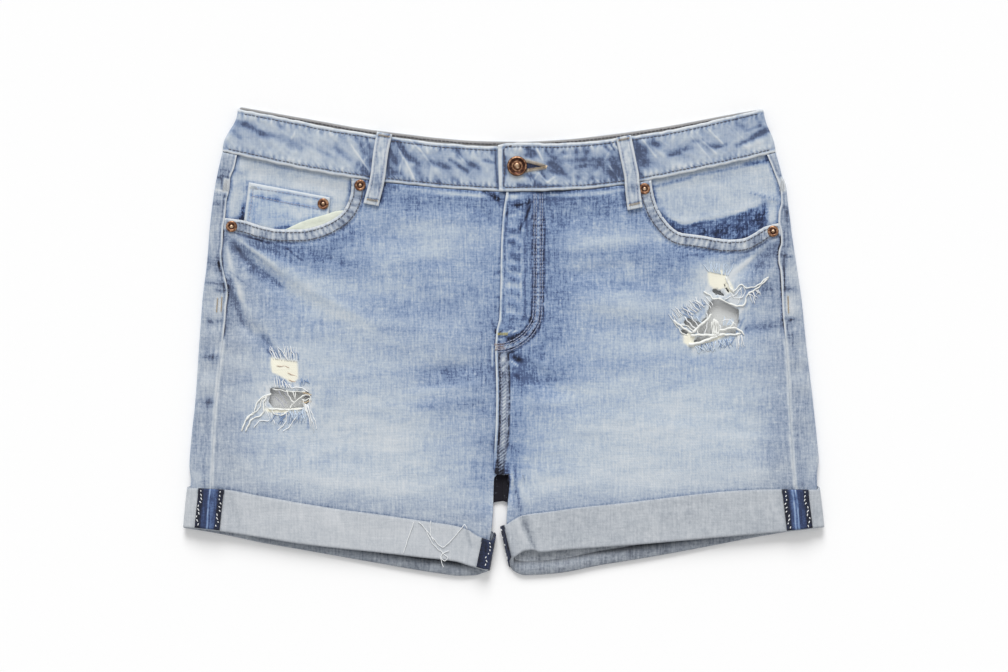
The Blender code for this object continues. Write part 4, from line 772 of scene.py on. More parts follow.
def tubes(name, lines, radii, made, sides=5):
    """Joined thin tubes: lines is a list of arrays of count by stations by xyz.

    radii is one radius, or a list with one, or an array by stations, for each of the lines.
    """
    all_points, all_faces, first = [], [], 0
    for group, radius in zip(lines, radii if isinstance(radii, list) else [radii] * len(lines)):
        group = np.asarray(group, float)
        if group.ndim == 2:
            group = group[None]
        count, stations = group.shape[:2]
        along = np.gradient(group, axis=1)
        along /= np.maximum(np.linalg.norm(along, axis=2, keepdims=True), 1e-9)
        up = np.where(np.abs(along[..., 2:]) > 0.9, (1.0, 0.0, 0.0), (0.0, 0.0, 1.0))
        across = np.cross(along, up)
        across /= np.maximum(np.linalg.norm(across, axis=2, keepdims=True), 1e-9)
        rise = np.cross(across, along)
        radius = np.broadcast_to(radius, (count, stations))[..., None, None]
        angle = np.arange(sides) * 2 * math.pi / sides
        ring = (group[:, :, None, :] + radius * (np.cos(angle)[:, None] * across[:, :, None, :]
                                                 + np.sin(angle)[:, None] * rise[:, :, None, :]))
        all_points.append(ring.reshape(-1, 3))
        base = first + np.arange(count) * stations * sides
        cell = [(s * sides + j, s * sides + (j + 1) % sides, (s + 1) * sides + (j + 1) % sides,
                 (s + 1) * sides + j) for s in range(stations - 1) for j in range(sides)]
        all_faces += (base[:, None, None] + np.array(cell)[None]).reshape(-1, 4).tolist()
        caps = [list(range(sides))[::-1], [(stations - 1) * sides + j for j in range(sides)]]
        all_faces += (base[:, None, None] + np.array(caps)[None]).reshape(-1, sides).tolist()
        first += count * stations * sides
    return new_object(name, np.concatenate(all_points), all_faces, [made])


# One stitch: share of its length, height over the cloth (mm)
STITCH_FORM = [(0.0, -0.10), (0.18, 0.20), (0.5, 0.30), (0.82, 0.20), (1.0, -0.10)]


def stitch_lines(path, height, pitch=3.2, length=2.5):
    """Stitches along a path seen from above, a little uneven, lying on height(x, y)."""
    path = np.asarray(path, float)
    far = np.concatenate([[0], np.cumsum(np.hypot(*np.diff(path, axis=0).T))])
    count = max(1, int(far[-1] / pitch))
    rng = np.random.default_rng(count)
    along, lifts = np.array(STITCH_FORM).T
    size = length * rng.uniform(0.8, 1.1, (count, 1))
    start = (np.arange(count)[:, None] + 0.5) * far[-1] / count - size / 2
    at = start + along[None] * size
    x, y = np.interp(at, far, path[:, 0]), np.interp(at, far, path[:, 1])
    x = x + rng.normal(0, 0.10, (count, 1)) + rng.normal(0, 0.10, (count, 1)) * (along - 0.5)
    y = y + rng.normal(0, 0.10, (count, 1)) + rng.normal(0, 0.10, (count, 1)) * (along - 0.5)
    return np.stack([x, y, height(x, y) + lifts[None]], axis=2)


def turned_edge(front, back, out, radius, middle, steps):
    """Round a folded edge from the front to the back: points, height, normal and share."""
    for k in range(1, steps):
        angle = math.pi * k / steps
        share = (1 - math.cos(angle)) / 2
        push = out * radius * math.sin(angle)
        points = [(mix(f[0], b[0], share) + push, mix(f[1], b[1], share)) for f, b in zip(front, back)]
        normal = (out * math.sin(angle), 0, math.cos(angle))
        yield points, middle + radius * math.cos(angle), normal, share


def offset(path, distance):
    """The path moved sideways; positive is to its left."""
    path = np.asarray(path, float)
    along = np.gradient(path, axis=0)
    along /= np.linalg.norm(along, axis=1, keepdims=True)
    return path + np.stack([-along[:, 1], along[:, 0]], axis=1) * distance


# ---------------------------------------------------------------- materials
def linear(colour):
    parts = [c / 255 for c in colour]
    return tuple(c / 12.92 if c <= 0.04045 else ((c + 0.055) / 1.055) ** 2.4 for c in parts) + (1.0,)


class Nodes:
    """Short names for building a material's nodes."""

    def __init__(self, name, roughness, sheen=0.0, metallic=0.0, specular=0.3):
        self.material = bpy.data.materials.new(name)
        self.material.use_nodes = True
        self.tree = self.material.node_tree
        self.shader = self.tree.nodes["Principled BSDF"]
        self.shader.inputs["Roughness"].default_value = roughness
        self.shader.inputs["Metallic"].default_value = metallic
        self.shader.inputs["Specular IOR Level"].default_value = specular
        self.shader.inputs["Sheen Weight"].default_value = sheen
        self.shader.inputs["Sheen Roughness"].default_value = 0.6
        self.place = self.add("ShaderNodeTexCoord").outputs["Object"]

    def add(self, kind, inputs=None, **settings):
        node = self.tree.nodes.new(kind)
        for key, value in settings.items():
            setattr(node, key, value)
        for key, value in (inputs or {}).items():
            if isinstance(value, bpy.types.NodeSocket):
                self.tree.links.new(value, node.inputs[key])
            else:
                node.inputs[key].default_value = value
        return node

    def maths(self, operation, *values):
        return self.add("ShaderNodeMath", dict(enumerate(values)), operation=operation).outputs[0]

    def sum(self, a, b, scale=1.0):
        """a + b * scale"""
        return self.maths("MULTIPLY_ADD", b, scale, a)

    def centred(self, value):
        return self.maths("SUBTRACT", value, 0.5)

    def stretched(self, length_x, length_y, length_z, turned=0.0):
        """Coordinates in which one unit is the given length in millimetres."""
        node = self.add("ShaderNodeMapping", {"Vector": self.place, "Rotation": (0, 0, turned)})
        scale = self.add("ShaderNodeVectorMath", {0: node.outputs[0],
                         1: (1000 / length_x, 1000 / length_y, 1000 / length_z)}, operation="MULTIPLY")
        return scale.outputs[0]

    def noise(self, length_x, length_y, length_z=None, detail=2.0, rough=0.5, turned=0.0):
        place = self.stretched(length_x, length_y, length_z or min(length_x, length_y), turned)
        return self.add("ShaderNodeTexNoise", {"Vector": place, "Scale": 1.0, "Detail": detail,
                                               "Roughness": rough}).outputs[0]

    def ramp(self, value, stops):
        """Colour of a value; the last stop's place may be above 1."""
        top = stops[-1][0]
        node = self.add("ShaderNodeValToRGB", {"Fac": self.maths("MULTIPLY", value, 1 / top)})
        while len(node.color_ramp.elements) < len(stops):
            node.color_ramp.elements.new(1.0)
        for element, (place, colour) in zip(node.color_ramp.elements, stops):
            element.position = place / top
            element.color = linear(colour)
        return node.outputs[0]

    def blend(self, a, b, share):
        """Colour a, or b where share is 1."""
        return self.add("ShaderNodeMix", {0: share, 6: a, 7: b}, data_type="RGBA").outputs[2]

    def value(self, name):
        return self.add("ShaderNodeAttribute", attribute_name=name).outputs["Fac"]

    def finish(self, colour, height, strength, distance):
        """The material with its colour and its bumps, distance metres high."""
        made = self.add("ShaderNodeBump", {"Height": height, "Strength": strength, "Distance": distance})
        self.tree.links.new(colour, self.shader.inputs["Base Color"])
        self.tree.links.new(made.outputs[0], self.shader.inputs["Normal"])
        return self.material


DEEPEST = 0.93                 # darkest wash that specks reach on paler cloth


def denim(name, streak, wrong_side_tint=None):
    """Washed twill: slubby warp down the leg, finer weft across it, twill lines and specks."""
    n = Nodes(name, 0.92, sheen=0.10, specular=0.18)
    warp = n.noise(1.5, 19, 1.5, 2.0, 0.65)
    weft = n.noise(9, 1.2, 1.2, 2.0, 0.6)
    cloud = n.noise(22, 6, 9, 3.0, 0.6)
    speck = n.noise(2.0, 2.4, 2.0, 3.0, 0.75)
    twill = n.add("ShaderNodeTexWave", {"Vector": n.stretched(1.0, 1.0, 1.0, math.radians(58)),
                                        "Scale": 0.285, "Distortion": 0.6, "Detail": 1.0},
                  wave_type="BANDS", bands_direction="X").outputs["Fac"]
    uneven = n.sum(n.sum(n.centred(warp), n.centred(weft), 0.55), n.centred(cloud), 0.50)
    uneven = n.sum(uneven, n.centred(speck), 1.15)
    depth = n.sum(0.27 * streak, n.value("wash"), 0.95 * streak)
    wash = n.sum(n.sum(n.value("wash"), uneven, depth), n.centred(twill), 0.05)
    wash = n.maths("MINIMUM", wash, n.maths("MAXIMUM", n.value("wash"), DEEPEST))
    right_side = n.ramp(wash, WASH_COLOURS)
    wrong_side = n.ramp(wash, WRONG_COLOURS)
    if wrong_side_tint:
        share = n.maths("MULTIPLY", n.maths("POWER", n.value("inside"), 4.0), 0.6)
        wrong_side = n.blend(wrong_side, linear(wrong_side_tint), share)
    colour = n.blend(right_side, wrong_side, n.value("inside"))
    cream = n.maths("MULTIPLY", n.sum(n.value("cream"), n.centred(weft), 0.3), n.value("cream"))
    colour = n.blend(colour, linear(CREAM), cream)
    height = n.sum(n.sum(warp, weft, 0.8), twill, 0.35)
    return n.finish(colour, height, 0.45, 0.0005)


def raw_indigo():
    n = Nodes("raw_indigo", 0.9, sheen=0.15, specular=0.2)
    warp = n.noise(0.9, 14, 1.0, 2.0, 0.6)
    speck = n.noise(1.6, 1.2, 1.2, 2.0, 0.6)
    wash = n.sum(n.value("wash"), n.centred(warp), 0.25)
    wash = n.sum(wash, n.centred(speck), 0.25)
    return n.finish(n.ramp(wash, WASH_COLOURS), warp, 0.4, 0.0005)


def pocketing():
    n = Nodes("pocketing", 0.95, specular=0.15)
    fine = n.noise(0.9, 0.9, 0.9, 2.0, 0.6)
    cloud = n.noise(9, 5, 5, 2.0, 0.5)
    colour = n.ramp(n.sum(cloud, n.centred(fine), 0.5), [(0.0, (190, 196, 184)), (0.5, (216, 221, 207)),
                                                         (1.0, (232, 234, 222))])
    return n.finish(colour, fine, 0.3, 0.0003)


def thread(name, colour):
    n = Nodes(name, 0.85, sheen=0.1, specular=0.2)
    fibre = n.noise(0.5, 0.5, 0.5, 2.0, 0.6)
    dark = tuple(c * 0.88 for c in colour)
    light = tuple(min(255, c * 1.05) for c in colour)
    return n.finish(n.ramp(fibre, [(0.0, dark), (0.5, colour), (1.0, light)]), fibre, 0.4, 0.0002)


def aged_copper(name, dark, light, roughness):
    n = Nodes(name, roughness, metallic=0.85, specular=0.5)
    patch = n.noise(2.2, 2.2, 2.2, 3.0, 0.6)
    return n.finish(n.ramp(patch, [(0.0, dark), (0.45, dark), (0.6, light), (1.0, light)]), patch, 0.2,
                    0.0002)


MATERIALS = {
    "denim": denim("denim", 1.0),
    "waistband_denim": denim("waistband_denim", 0.50, INSIDE_BAND),
    "cuff_denim": denim("cuff_denim", 0.75),
    "raw_indigo": raw_indigo(),
    "pocketing": pocketing(),
    "copper": aged_copper("copper", (118, 80, 60), (190, 148, 116), 0.40),
    "copper_dark": aged_copper("copper_dark", (56, 34, 27), (98, 64, 50), 0.45),
    # Pale metal on the tops of the rivets and the button: a painted highlight.
    "pale_metal_highlight": aged_copper("pale_metal_highlight", (160, 126, 96), (226, 200, 172), 0.32)}
for thread_name, thread_colour in THREADS.items():
    MATERIALS["thread_" + thread_name] = thread("thread_" + thread_name, thread_colour)


# ---------------------------------------------------------------- wash
def fades_and_shade(place, x, y):
    """Base wash of a place with its listed faded patches and marks, some of them painted shade."""
    total = np.full(np.broadcast(x, y).shape, BASE_WASH[place])
    for px, py, half_x, half_y, change, *tilt in FADES_AND_SHADE[place]:
        cx, cy = seen(px, py)
        a = math.radians(sum(tilt))
        u = ((x - cx) * math.cos(a) + (y - cy) * math.sin(a)) / (half_x * PIXEL)
        v = ((y - cy) * math.cos(a) - (x - cx) * math.sin(a)) / (half_y * PIXEL)
        total = total + change * np.exp(-(u * u + v * v))
    rows = in_millimetres(MARKS[place])
    if place == "band":
        rows = [(*row[:5], row[5] * (BAND_DARK if row[5] > 0 else BAND_PALE)) for row in rows]
    return total + segment_folds(x, y, rows, 0.75)


def open_seam(y):
    """1 where a side seam's edges stand up, above the thigh; 0 where they lie flat."""
    return ramp((y + 3) / 12)


def side_edge(side, y, outwards):
    """The side seam's line for the piece on its outer (1) or inner (-1) side."""
    gap = SEAM / 2 * mix(0.4, 1.0, open_seam(y))
    return smooth(SIDE_SEAM[side], y) + OUT[side] * outwards * gap


def seam_wear_and_shade(d, s, pale, width, dark):
    """Change of wash by a turned edge: rubbed pale, unevenly, with painted shade in the furrow behind it.
    """
    uneven = 0.80 + 0.35 * patchy(s, 0 * s, 38, 3.6, 1) + 0.20 * patchy(s, 0 * s, 39, 1.7, 1)
    return uneven * (dark * bump(d - width - 1.5, 0.9) - pale * ramp((width + 0.6 - d) / 1.1))


def loop_shade(x, y):
    """Darker cloth along both sides of the belt loops."""
    total = 0.0 * (x + y)
    for name, *ends in BELT_LOOPS:
        along, side, length = loop_frame(*ends)
        far = (x - ends[0]) * along[0] + (y - ends[1]) * along[1]
        off = (x - ends[0]) * side[0] + (y - ends[1]) * side[1]
        beside = np.abs(off - smooth(LOOP_BOW[name], np.clip(far / length, 0, 1))) - LOOP_WIDTH / 2
        total = total + 0.38 * bump(np.maximum(beside, 0), 3.0) * ramp(far / 6) * ramp((length - far) / 4)
    return total


def greyness(side, x, y):
    """How much the blue has gone grey: most by the side seams and above the cuffs."""
    grey = 0.12 + 0.34 * bump(from_side_seam(side, x, y), 34)
    grey = grey + 0.30 * bump(np.maximum(above_cuff(side, x, y), 0), 26)
    if side == "left":
        grey = grey + 0.10 * ramp((60 - y) / 60)
    return np.clip(grey, 0, 0.6)


# Patches where only the cream weft is left, in pixels
RIP_PATCHES = {
    "left": [
        [(272, 357.5), (278, 359), (297, 362), (297.5, 370), (298, 378), (295, 381), (291, 381.5),
         (287, 378.5), (279, 374), (273.5, 372), (272.3, 366)],
        [(266, 408.5), (284, 409.5), (300, 408.5), (300, 410), (284, 412), (267, 411)]],
    "right": [
        [(708, 272), (716, 270.5), (721, 271), (726, 278), (731, 286), (732, 291), (728, 292), (724, 286),
         (719, 289), (712, 288), (709, 283)],
        [(684, 334), (689, 333), (694, 336), (692, 342), (700, 341), (716, 335), (724, 333), (724, 335.5),
         (706, 342), (690, 346), (684, 342)]]}
# Worn-through holes as seen, in pixels
HOLE_SHAPES = {
    "left": [
        [(270.5, 389), (276, 387.3), (284, 389.5), (292, 391), (301, 390.5), (308, 391.5), (311.5, 396),
         (309.5, 403), (303, 407), (294, 408.3), (283, 408.5), (274, 407.5), (269.5, 402), (270.8, 396)]],
    "right": [
        [(709, 303), (713, 299.5), (720, 299.5), (727, 303), (733, 307), (738, 309), (738.5, 318),
         (737, 326), (735, 334), (724, 333), (716, 334), (700, 334), (694, 332), (690, 330), (685, 326),
         (683, 322), (688, 318), (694, 321), (700, 323), (705, 317), (708, 309)],
        [(680.5, 329.5), (685, 329), (689, 331.5), (686, 334.5), (682, 333.5)],
        [(693, 341), (697, 337), (706, 336.3), (713, 337), (709, 339.5), (700, 342), (695, 343)],
        [(723, 284.2), (724.2, 284.4), (728.4, 291), (729.2, 293.6), (727.2, 292.4), (724.4, 288)],
        [(711.2, 289), (714.5, 288.8), (720, 291.8), (726, 296.6), (719, 295.2), (712.5, 292.4)]]}


def front_wash(side, x, y):
    """Wash and cream of a front panel."""
    wash = fades_and_shade(side, x, y)
    wash = wash + 0.06 * patchy(x, y, 31, 34, 6) + 0.05 * patchy(x, y, 32, 14, 3.5)
    # Creases are painted too: shade in their troughs, light on their ridges.
    wash = wash - 0.34 * creases(side, x, y)
    wash = np.where(wash > 0.68, 0.68 + 0.55 * (wash - 0.68), wash)
    from_side = from_side_seam(side, x, y)
    lifted = open_seam(y)
    wash = wash + seam_wear_and_shade(from_side, y, mix(0.32, 0.10, lifted), 1.7, 0.10)
    # Painted shade in the gap where the side seam stands open.
    wash = wash + 0.80 * bump(from_side - 0.5, 1.1) * lifted * (0.8 + 0.4 * patchy(x, y, 74, 3, 12))
    d, s = mouth_distance(side, x, y)
    wash = mix(wash, hem_wash(d, s), ramp(MOUTH_HEM + 0.5 - d))
    # Painted shade in the furrow below the pocket's hem.
    wash = wash + 0.26 * bump(d - MOUTH_HEM - 0.9, 0.9) - 0.10 * bump(d - MOUTH_HEM - 3, 1.2)
    down = below_band(x, y)
    clear = d > MOUTH_HEM
    # The first term is painted shade just under the band's edge.
    wash = wash + (0.34 * bump(down - 0.5, 1.6) - 0.20 * bump(down - 4.0, 1.6)
                   + 0.12 * bump(down - 7.5, 1.8)) * clear
    # Painted shade just above the cuff and beside the belt loops.
    wash = wash + 0.22 * bump(above_cuff(side, x, y), 1.6) + loop_shade(x, y) * clear
    hole = np.maximum(hole_distance(side, x, y), 0)
    strokes = 0.34 * patchy(x, y, 39, 1.6, 5.5, 8 if side == "left" else -22)
    wash = wash - 0.16 * bump(hole, 3.0) + (strokes - 0.10) * bump(hole, 8.5)
    if side == "right":
        wash = fly_wash(wash, x, y)
    else:
        # Painted shade beside the fly's lapping edge.
        wash = wash + 0.30 * bump(from_fly_edge(x, y) + 0.5, 1.3) * ramp((y + 112) / 20)
    return np.clip(wash, -0.05, 1.2 if side == "left" else BLACKENED), front_cream(side, x, y)


def hem_wash(d, s):
    """Hem of a pocket's mouth: white edge, blue puckers across it and two stitched furrows."""
    waves = wave((s + 1.4 * np.sin(s / 8.0)) / 4.6, 0.25 * d)
    puckers = 0.20 * waves + 0.28 * patchy(s, d, 33, 4.2, 30) + 0.16 * patchy(s, d, 34, 1.9, 7)
    wash = 0.48 + 1.15 * puckers * bump(d - 6, 4.4)
    wash = wash - 0.46 * ramp(2.3 - d) + 0.12 * bump(d - 2.9, 0.7)
    return wash + 0.24 * bump(d - MOUTH_HEM + 1.0, 0.8)


def front_cream(side, x, y):
    """1 on the patches of bare weft, fading out round them."""
    return np.max([ramp(1 - seen_outline(x, y, pixels) / 2.4) for pixels in RIP_PATCHES[side]], axis=0)


BLACKENED = 1.5                 # wash of the crotch's shaded end, past the darkest indigo
# Where the crotch's painted shade ends on the right front: columns y, x
CROTCH_SIDE = [(-88, -1), (-96, 1.8), (-104, 3.8), (-112, 6.2), (-118, 7.4), (-126, 6), (-138, 4)]


def fly_wash(wash, x, y):
    """The fly: white edge, wavy zip ridge, stitched curve, and the crotch seam below it."""
    edge = from_fly_edge(x, y)
    above = ramp((y + 6) / 10)
    ridge = ramp((edge - 4) / 2) * ramp((18 - edge) / 2) * above
    waves = 0.13 * wave((y + 0.3 * edge) / 10.5) + 0.22 * patchy(x, y, 36, 6, 4.5)
    # Painted highlight along the zip ridge's edge, painted shade just beyond it.
    zip_ridge_light_and_shade = (0.26 * bump(edge - 20.3, 1.2) - 0.24 * bump(edge - 17.6, 1.0)) * ramp((118 - y) / 8)
    wash = wash + (waves - 0.04) * ridge + zip_ridge_light_and_shade * above * ramp((y - 14) / 8)
    d, s = from_line(x, y, FLY_CURVE)
    band = 0.22 * wave(s / 2.7) + 0.34 * patchy(s, d, 35, 1.7, 1.9)
    lines = 0.46 * bump(d - 2.2, 0.8) + 0.50 * bump(d - 5.0, 0.9) - 0.10 * bump(d, 1.2)
    wash = wash + (band * bump(d, 4.4) + lines) * ramp((112 - y) / 8)
    wash = wash - 0.5 * bump(np.hypot(x - 1.5, (y - 124) / 1.6), 3.2)
    wash = mix(wash, crotch_seam_wash(edge, y), crotch_seam(edge, y))
    wash = wash + seam_wear_and_shade(edge, y, 0.70 * ramp((y + 96) / 22), 1.3, 0.40)
    wash = np.clip(wash, -0.05, 1.2)
    # Painted shade at the crotch's end, up to CROTCH_SIDE, less on the crotch seam's ridge.
    dark = 0.82 * ramp((smooth(CROTCH_SIDE, y) - x) / 3.4) * ramp((-90 - y) / 34)
    ridge = crotch_seam(edge, y) * bump(edge - 6.2, 3.0) * ramp((y + 112) / 13)
    return mix(wash, BLACKENED, dark * (1 - 0.85 * ridge))


def crotch_seam(edge, y):
    """Where the felled crotch seam lies: narrower towards the legs."""
    width = mix(12.2, 9.8, ramp((-78 - y) / 32))
    return ramp(width - edge) * ramp((edge - 1.4) / 0.8) * ramp((-6 - y) / 5)


def crotch_seam_wash(edge, y):
    """Slanted ribs of the chain stitches between two dark furrows, darker downwards."""
    low = ramp((-78 - y) / 34)
    uneven_top = ramp((y + 38) / 12)
    slant = y - 0.8 * edge + 0.5 * patchy(edge, y, 47, 5, 5)
    ribs = 0.34 * wave(slant / 2.9) * bump(edge - 6.0, 3.6) * (1 - 0.7 * uneven_top)
    ribs = ribs + 0.24 * patchy(edge, slant, 37, 3.0, 1.7) + 0.14 * patchy(edge, y, 65, 2.0, 9)
    ribs = ribs + uneven_top * (0.16 + 0.50 * patchy(edge, y, 69, 2.2, 4.5))
    uneven = 1 + 0.8 * patchy(edge, y, 48, 3, 2.6)
    sides = 0.66 * bump(edge - 3.0, 1.2) * uneven + 0.56 * bump(edge - 11.0, 1.0) * uneven
    return 0.60 - 0.14 * bump(edge - 7, 2.2) + sides + ribs + 0.36 * low


# ---------------------------------------------------------------- panels
FINE = 1.5                      # spacing of the fronts' grid
# Distances of the fronts' first columns from their side and their inner edge
OUTER_STEPS = np.array([0, 0.4, 0.8, 1.25, 1.8, 2.5, 3.4])
INNER_STEPS = np.array([0, 0.3, 0.8, 1.5, 2.4, 3.5, 4.7, 6.0])
FRONT_SPAN = 235.0
FRONT_ROWS, MORE_FRONT_ROWS = 212, 24  # the second for the right front, down its fly


SEWN_GREY = 0.62                # greyness of the pockets' hems and of the crotch seam


def front_panel(side):
    columns = np.linspace(OUTER_STEPS[-1] + FINE, FRONT_SPAN - INNER_STEPS[-1] - FINE,
                          int(FRONT_SPAN / FINE))
    u = np.concatenate([OUTER_STEPS, columns, FRONT_SPAN - INNER_STEPS[::-1]]) / FRONT_SPAN
    v = np.linspace(0, 1, FRONT_ROWS)
    if side == "right":
        v = np.interp(np.linspace(0, 1, FRONT_ROWS + MORE_FRONT_ROWS), [0, 0.36, 0.83, 1],
                      [0, 0.465, 0.825, 1])
    u, v = np.meshgrid(u, v)
    x, y = spread(u, v, lambda y: side_edge(side, y, -1),
                  lambda y: smooth(FRONT_INNER[side], y),
                  lambda x: smooth(WAIST_SEAM, x) - SEAM,
                  lambda x: smooth(CUFF_BOTTOM[side], x) + CUFF_HOOK + HEM_CLEAR)

    def level(x, y):
        """Distance from the nearest edge of the pocket's mouth or of a hole."""
        return np.minimum(mouth_distance(side, x, y)[0], hole_distance(side, x, y))

    x, y, g = snap(x, y, level, 0.75 * FINE)
    centre = level((x[:-1, :-1] + x[1:, 1:]) / 2, (y[:-1, :-1] + y[1:, 1:]) / 2)
    keep = kept_cells(g, centre)
    wash, cream = front_wash(side, x, y)
    on_hem = ramp(MOUTH_HEM + 0.5 - mouth_distance(side, x, y)[0])
    grey = mix(greyness(side, x, y), SEWN_GREY, on_hem)
    if side == "right":
        grey = mix(grey, SEWN_GREY, crotch_seam(from_fly_edge(x, y), y))
    grid = np.stack([x, y, front_panel_height(side, x, y)], axis=2)
    # The underside darkens towards the crotch: painted shade there.
    under = mix(0.45, 1.15, bump(x - 2, 12) * ramp((-84 - y) / 14))
    return cloth("front_" + side, grid, CLOTH, "denim",
                 {"wash": wash, "cream": cream, "inside": grey}, keep, {"inside": 1.0, "wash": under})


def back_rows(side, rows, x_at, on_front):
    """Points of many rows where x follows x_at(y), on the lower or the upper layer."""
    y = mix(150.0, -165.0, rows)
    edge = CUFF_BOTTOM[side] if on_front else CUFF_BOTTOM_BACK[side]
    rise = -SEAM if on_front else BACK_RISE
    for _ in range(12):
        x = x_at(y)
        level_x = OUT[side] * np.maximum(OUT[side] * x, OUT[side] * CROTCH_X[side])
        y = mix(smooth(WAIST_SEAM, level_x) + rise, smooth(edge, level_x) + CUFF_HOOK + HEM_CLEAR, rows)
    return x, y


# Sections of the strip over the side edge, closer together by the side seam
STRIP_SHARES = 1 - np.array([1, 0.88, 0.75, 0.62, 0.50, 0.40, 0.31, 0.24, 0.19, 0.15, 0.115, 0.085, 0.06,
                             0.038, 0.018, 0])


# Painted light on the back's inner face seen through each front's holes, lifting their shade:
# its y, how far it reaches, how much paler
PAINTED_HOLE_LIGHT = {"left": (-48, 24, 0.90), "right": (16, 32, 1.04)}


def back_panel(side):
    """From the centre seam along the surface, round the side edge and over to the side seam."""
    out = OUT[side]
    inner = CROTCH_X[side]
    top = smooth(WAIST_SEAM, inner) + BACK_RISE
    level = (top - CROTCH_END) / (top - smooth(CUFF_BOTTOM_BACK[side], inner) - CUFF_HOOK - HEM_CLEAR)
    rows = np.sort(np.concatenate([np.linspace(0, 1, 170), level + np.array([-1.9e-3, 1.9e-3])]))
    edge_x, edge_y = back_rows(side, rows, lambda y: smooth(OUTLINE[side], y), False)
    high, low = front_height(side, edge_x, edge_y), back_height(side, edge_x, edge_y)
    radius = (high - low) / 2

    def edge(y):
        return smooth(OUTLINE[side], y) - out * (radius + CLOTH / 2)

    edge_x, edge_y = back_rows(side, rows, edge, False)
    top_x, top_y = back_rows(side, rows, edge, True)
    inner_x, _ = back_rows(side, rows, lambda y: smooth(BACK_INNER[side], y), False)
    width = np.abs(edge_x - inner_x)
    sections = []
    for s in np.concatenate([[0, 0.004, 0.013, 0.034], np.linspace(0.06, 1, 44)]):
        x, y = back_rows(side, rows, lambda y: mix(smooth(BACK_INNER[side], y), edge(y), s), False)
        turn_up = (1 - rounding(s * width)) * ramp((-137 - y) / 12)
        z = mix(back_height(side, x, y), inseam_back(side, x, y), turn_up)
        sections.append((x, y, z, 0 * x))
    for angle in np.linspace(0, math.pi, 11)[1:-1]:
        share = (1 - math.cos(angle)) / 2
        x = mix(edge_x, top_x, share) + out * radius * math.sin(angle)
        sections.append((x, mix(edge_y, top_y, share), mix(low, high, share), share + 0 * x))
    for s in STRIP_SHARES:
        x, y = back_rows(side, rows, lambda y: mix(edge(y), side_edge(side, y, 1), s), True)
        sections.append((x, y, front_height(side, x, y) + strip_relief(side, x, y), 1 + 0 * x))
    data = np.stack([np.stack(part, axis=1) for part in sections], axis=1)
    x, y, over = data[..., 0], data[..., 1], data[..., 3]
    strip = strip_wash(side, x, y)
    under = 0.48 + 0.10 * patchy(x, y, 41, 60, 14) + 0.06 * patchy(x, y, 42, 20, 6)
    outside = mix(under, strip, over)
    # Painted shade at the crotch; the inner face's base wash of 0.62, darker than the cuffs' wrong side, is
    # painted shade where it shows in the leg openings.
    crotch = bump(x + 2, 12) * ramp((y + 150) / 8) * ramp((-96 - y) / 8)
    # Painted light behind the holes: paler wash and cream; on the right it is darker towards the bottom,
    # painted shade that evens out the cast shadow at the hole's top.
    hole_y, reach, pale = PAINTED_HOLE_LIGHT[side]
    hole_painted_light = bump(np.hypot((np.abs(x) - 176) / 1.6, y - hole_y), reach)
    inner = 0.62 + 1.1 * crotch - pale * hole_painted_light + 0.10 * patchy(x, y, 49, 5, 4)
    inner = inner + 0.22 * patchy(x, y, 75, 1.6, 1.6) * hole_painted_light
    if side == "right":
        inner = inner + 0.34 * hole_painted_light * ramp((22 - y) / 14)
    half = grid_normals(data[..., :3]) * CLOTH / 2
    if half[:, 5, 2].mean() > 0:
        half = -half
    return two_sided("back_" + side, data[..., :3] + half, data[..., :3] - half, "denim",
                     {"wash": outside + 0.5 * crotch, "inside": 0.55 * over},
                     {"wash": inner, "inside": 1.0, "cream": 0.5 * hole_painted_light})


def strip_relief(side, x, y):
    inward = from_side_seam(side, x, y)
    calm = ramp(inward / 3) * ramp((148 - y) / 10) * ramp((y + 112) / 10)
    waves = 0.22 * wave(y / 26, 2.5 * np.sin(y / 31)) + 0.2 * patchy(x, y, 43, 9, 11)
    rolled = 0.35 * bump(inward - 1.1, 1.0) * open_seam(y) * ramp((148 - y) / 6)
    return waves * calm + rolled


def strip_wash(side, x, y):
    inward = from_side_seam(side, x, y)
    wash = fades_and_shade("strip", x, y) + 0.10 * patchy(x, y, 44, 9, 16) + 0.07 * patchy(x, y, 45, 4, 7)
    # Pale rubbed rolled edge, with lines of painted shade just inward of it.
    wash = wash + mix(0.08 * bump(inward - 3, 0.9) - 0.22 * ramp((2.6 - inward) / 1.2),
                      0.30 * bump(inward - 2.7, 0.8) - 0.50 * ramp((1.6 - inward) / 0.7), open_seam(y))
    wash = wash + 0.14 * bump(inward - 6.5, 0.9) + 0.10 * patchy(x, y, 64, 2.2, 26)
    return np.clip(wash, -0.05, 1.2)


# ---------------------------------------------------------------- waistband
BAND_FACE = 40                  # cells across the band's face
BAND_STITCH = 3.4               # stitch lines from the band's edges
BAND_ROUND = 1.5                # radius of those edges
BAND_ENDS = {"left": (-225.5, -238.5), "right": (220.5, 231)}  # x at the top and at the bottom
UPPER_END = 110                 # stations of the end that laps over


def band_points(table, x_top, x_bottom, rise=0.0):
    return (x_top, float(smooth(table, x_top))), (x_bottom, float(smooth(WAIST_SEAM, x_bottom)) + rise)


def veins(x, y, seed, length_x, length_y, turned, width):
    """Thin wandering lines, 1 on each line and 0 between them."""
    return bump(patchy(x, y, seed, length_x, length_y, turned), width)


def roping(x, y):
    """Twisted waistband cloth: crossing slanted ridges, patches and short blotches."""
    lines = 0.9 * veins(x, y, 51, 13, 5.0, -38, 0.22) + 0.7 * veins(x, y, 57, 11, 5.5, 44, 0.20)
    return lines - 0.45 + 0.55 * patchy(x, y, 52, 7, 4.5, -36) + 0.40 * patchy(x, y, 53, 2.8, 2.2, -50)


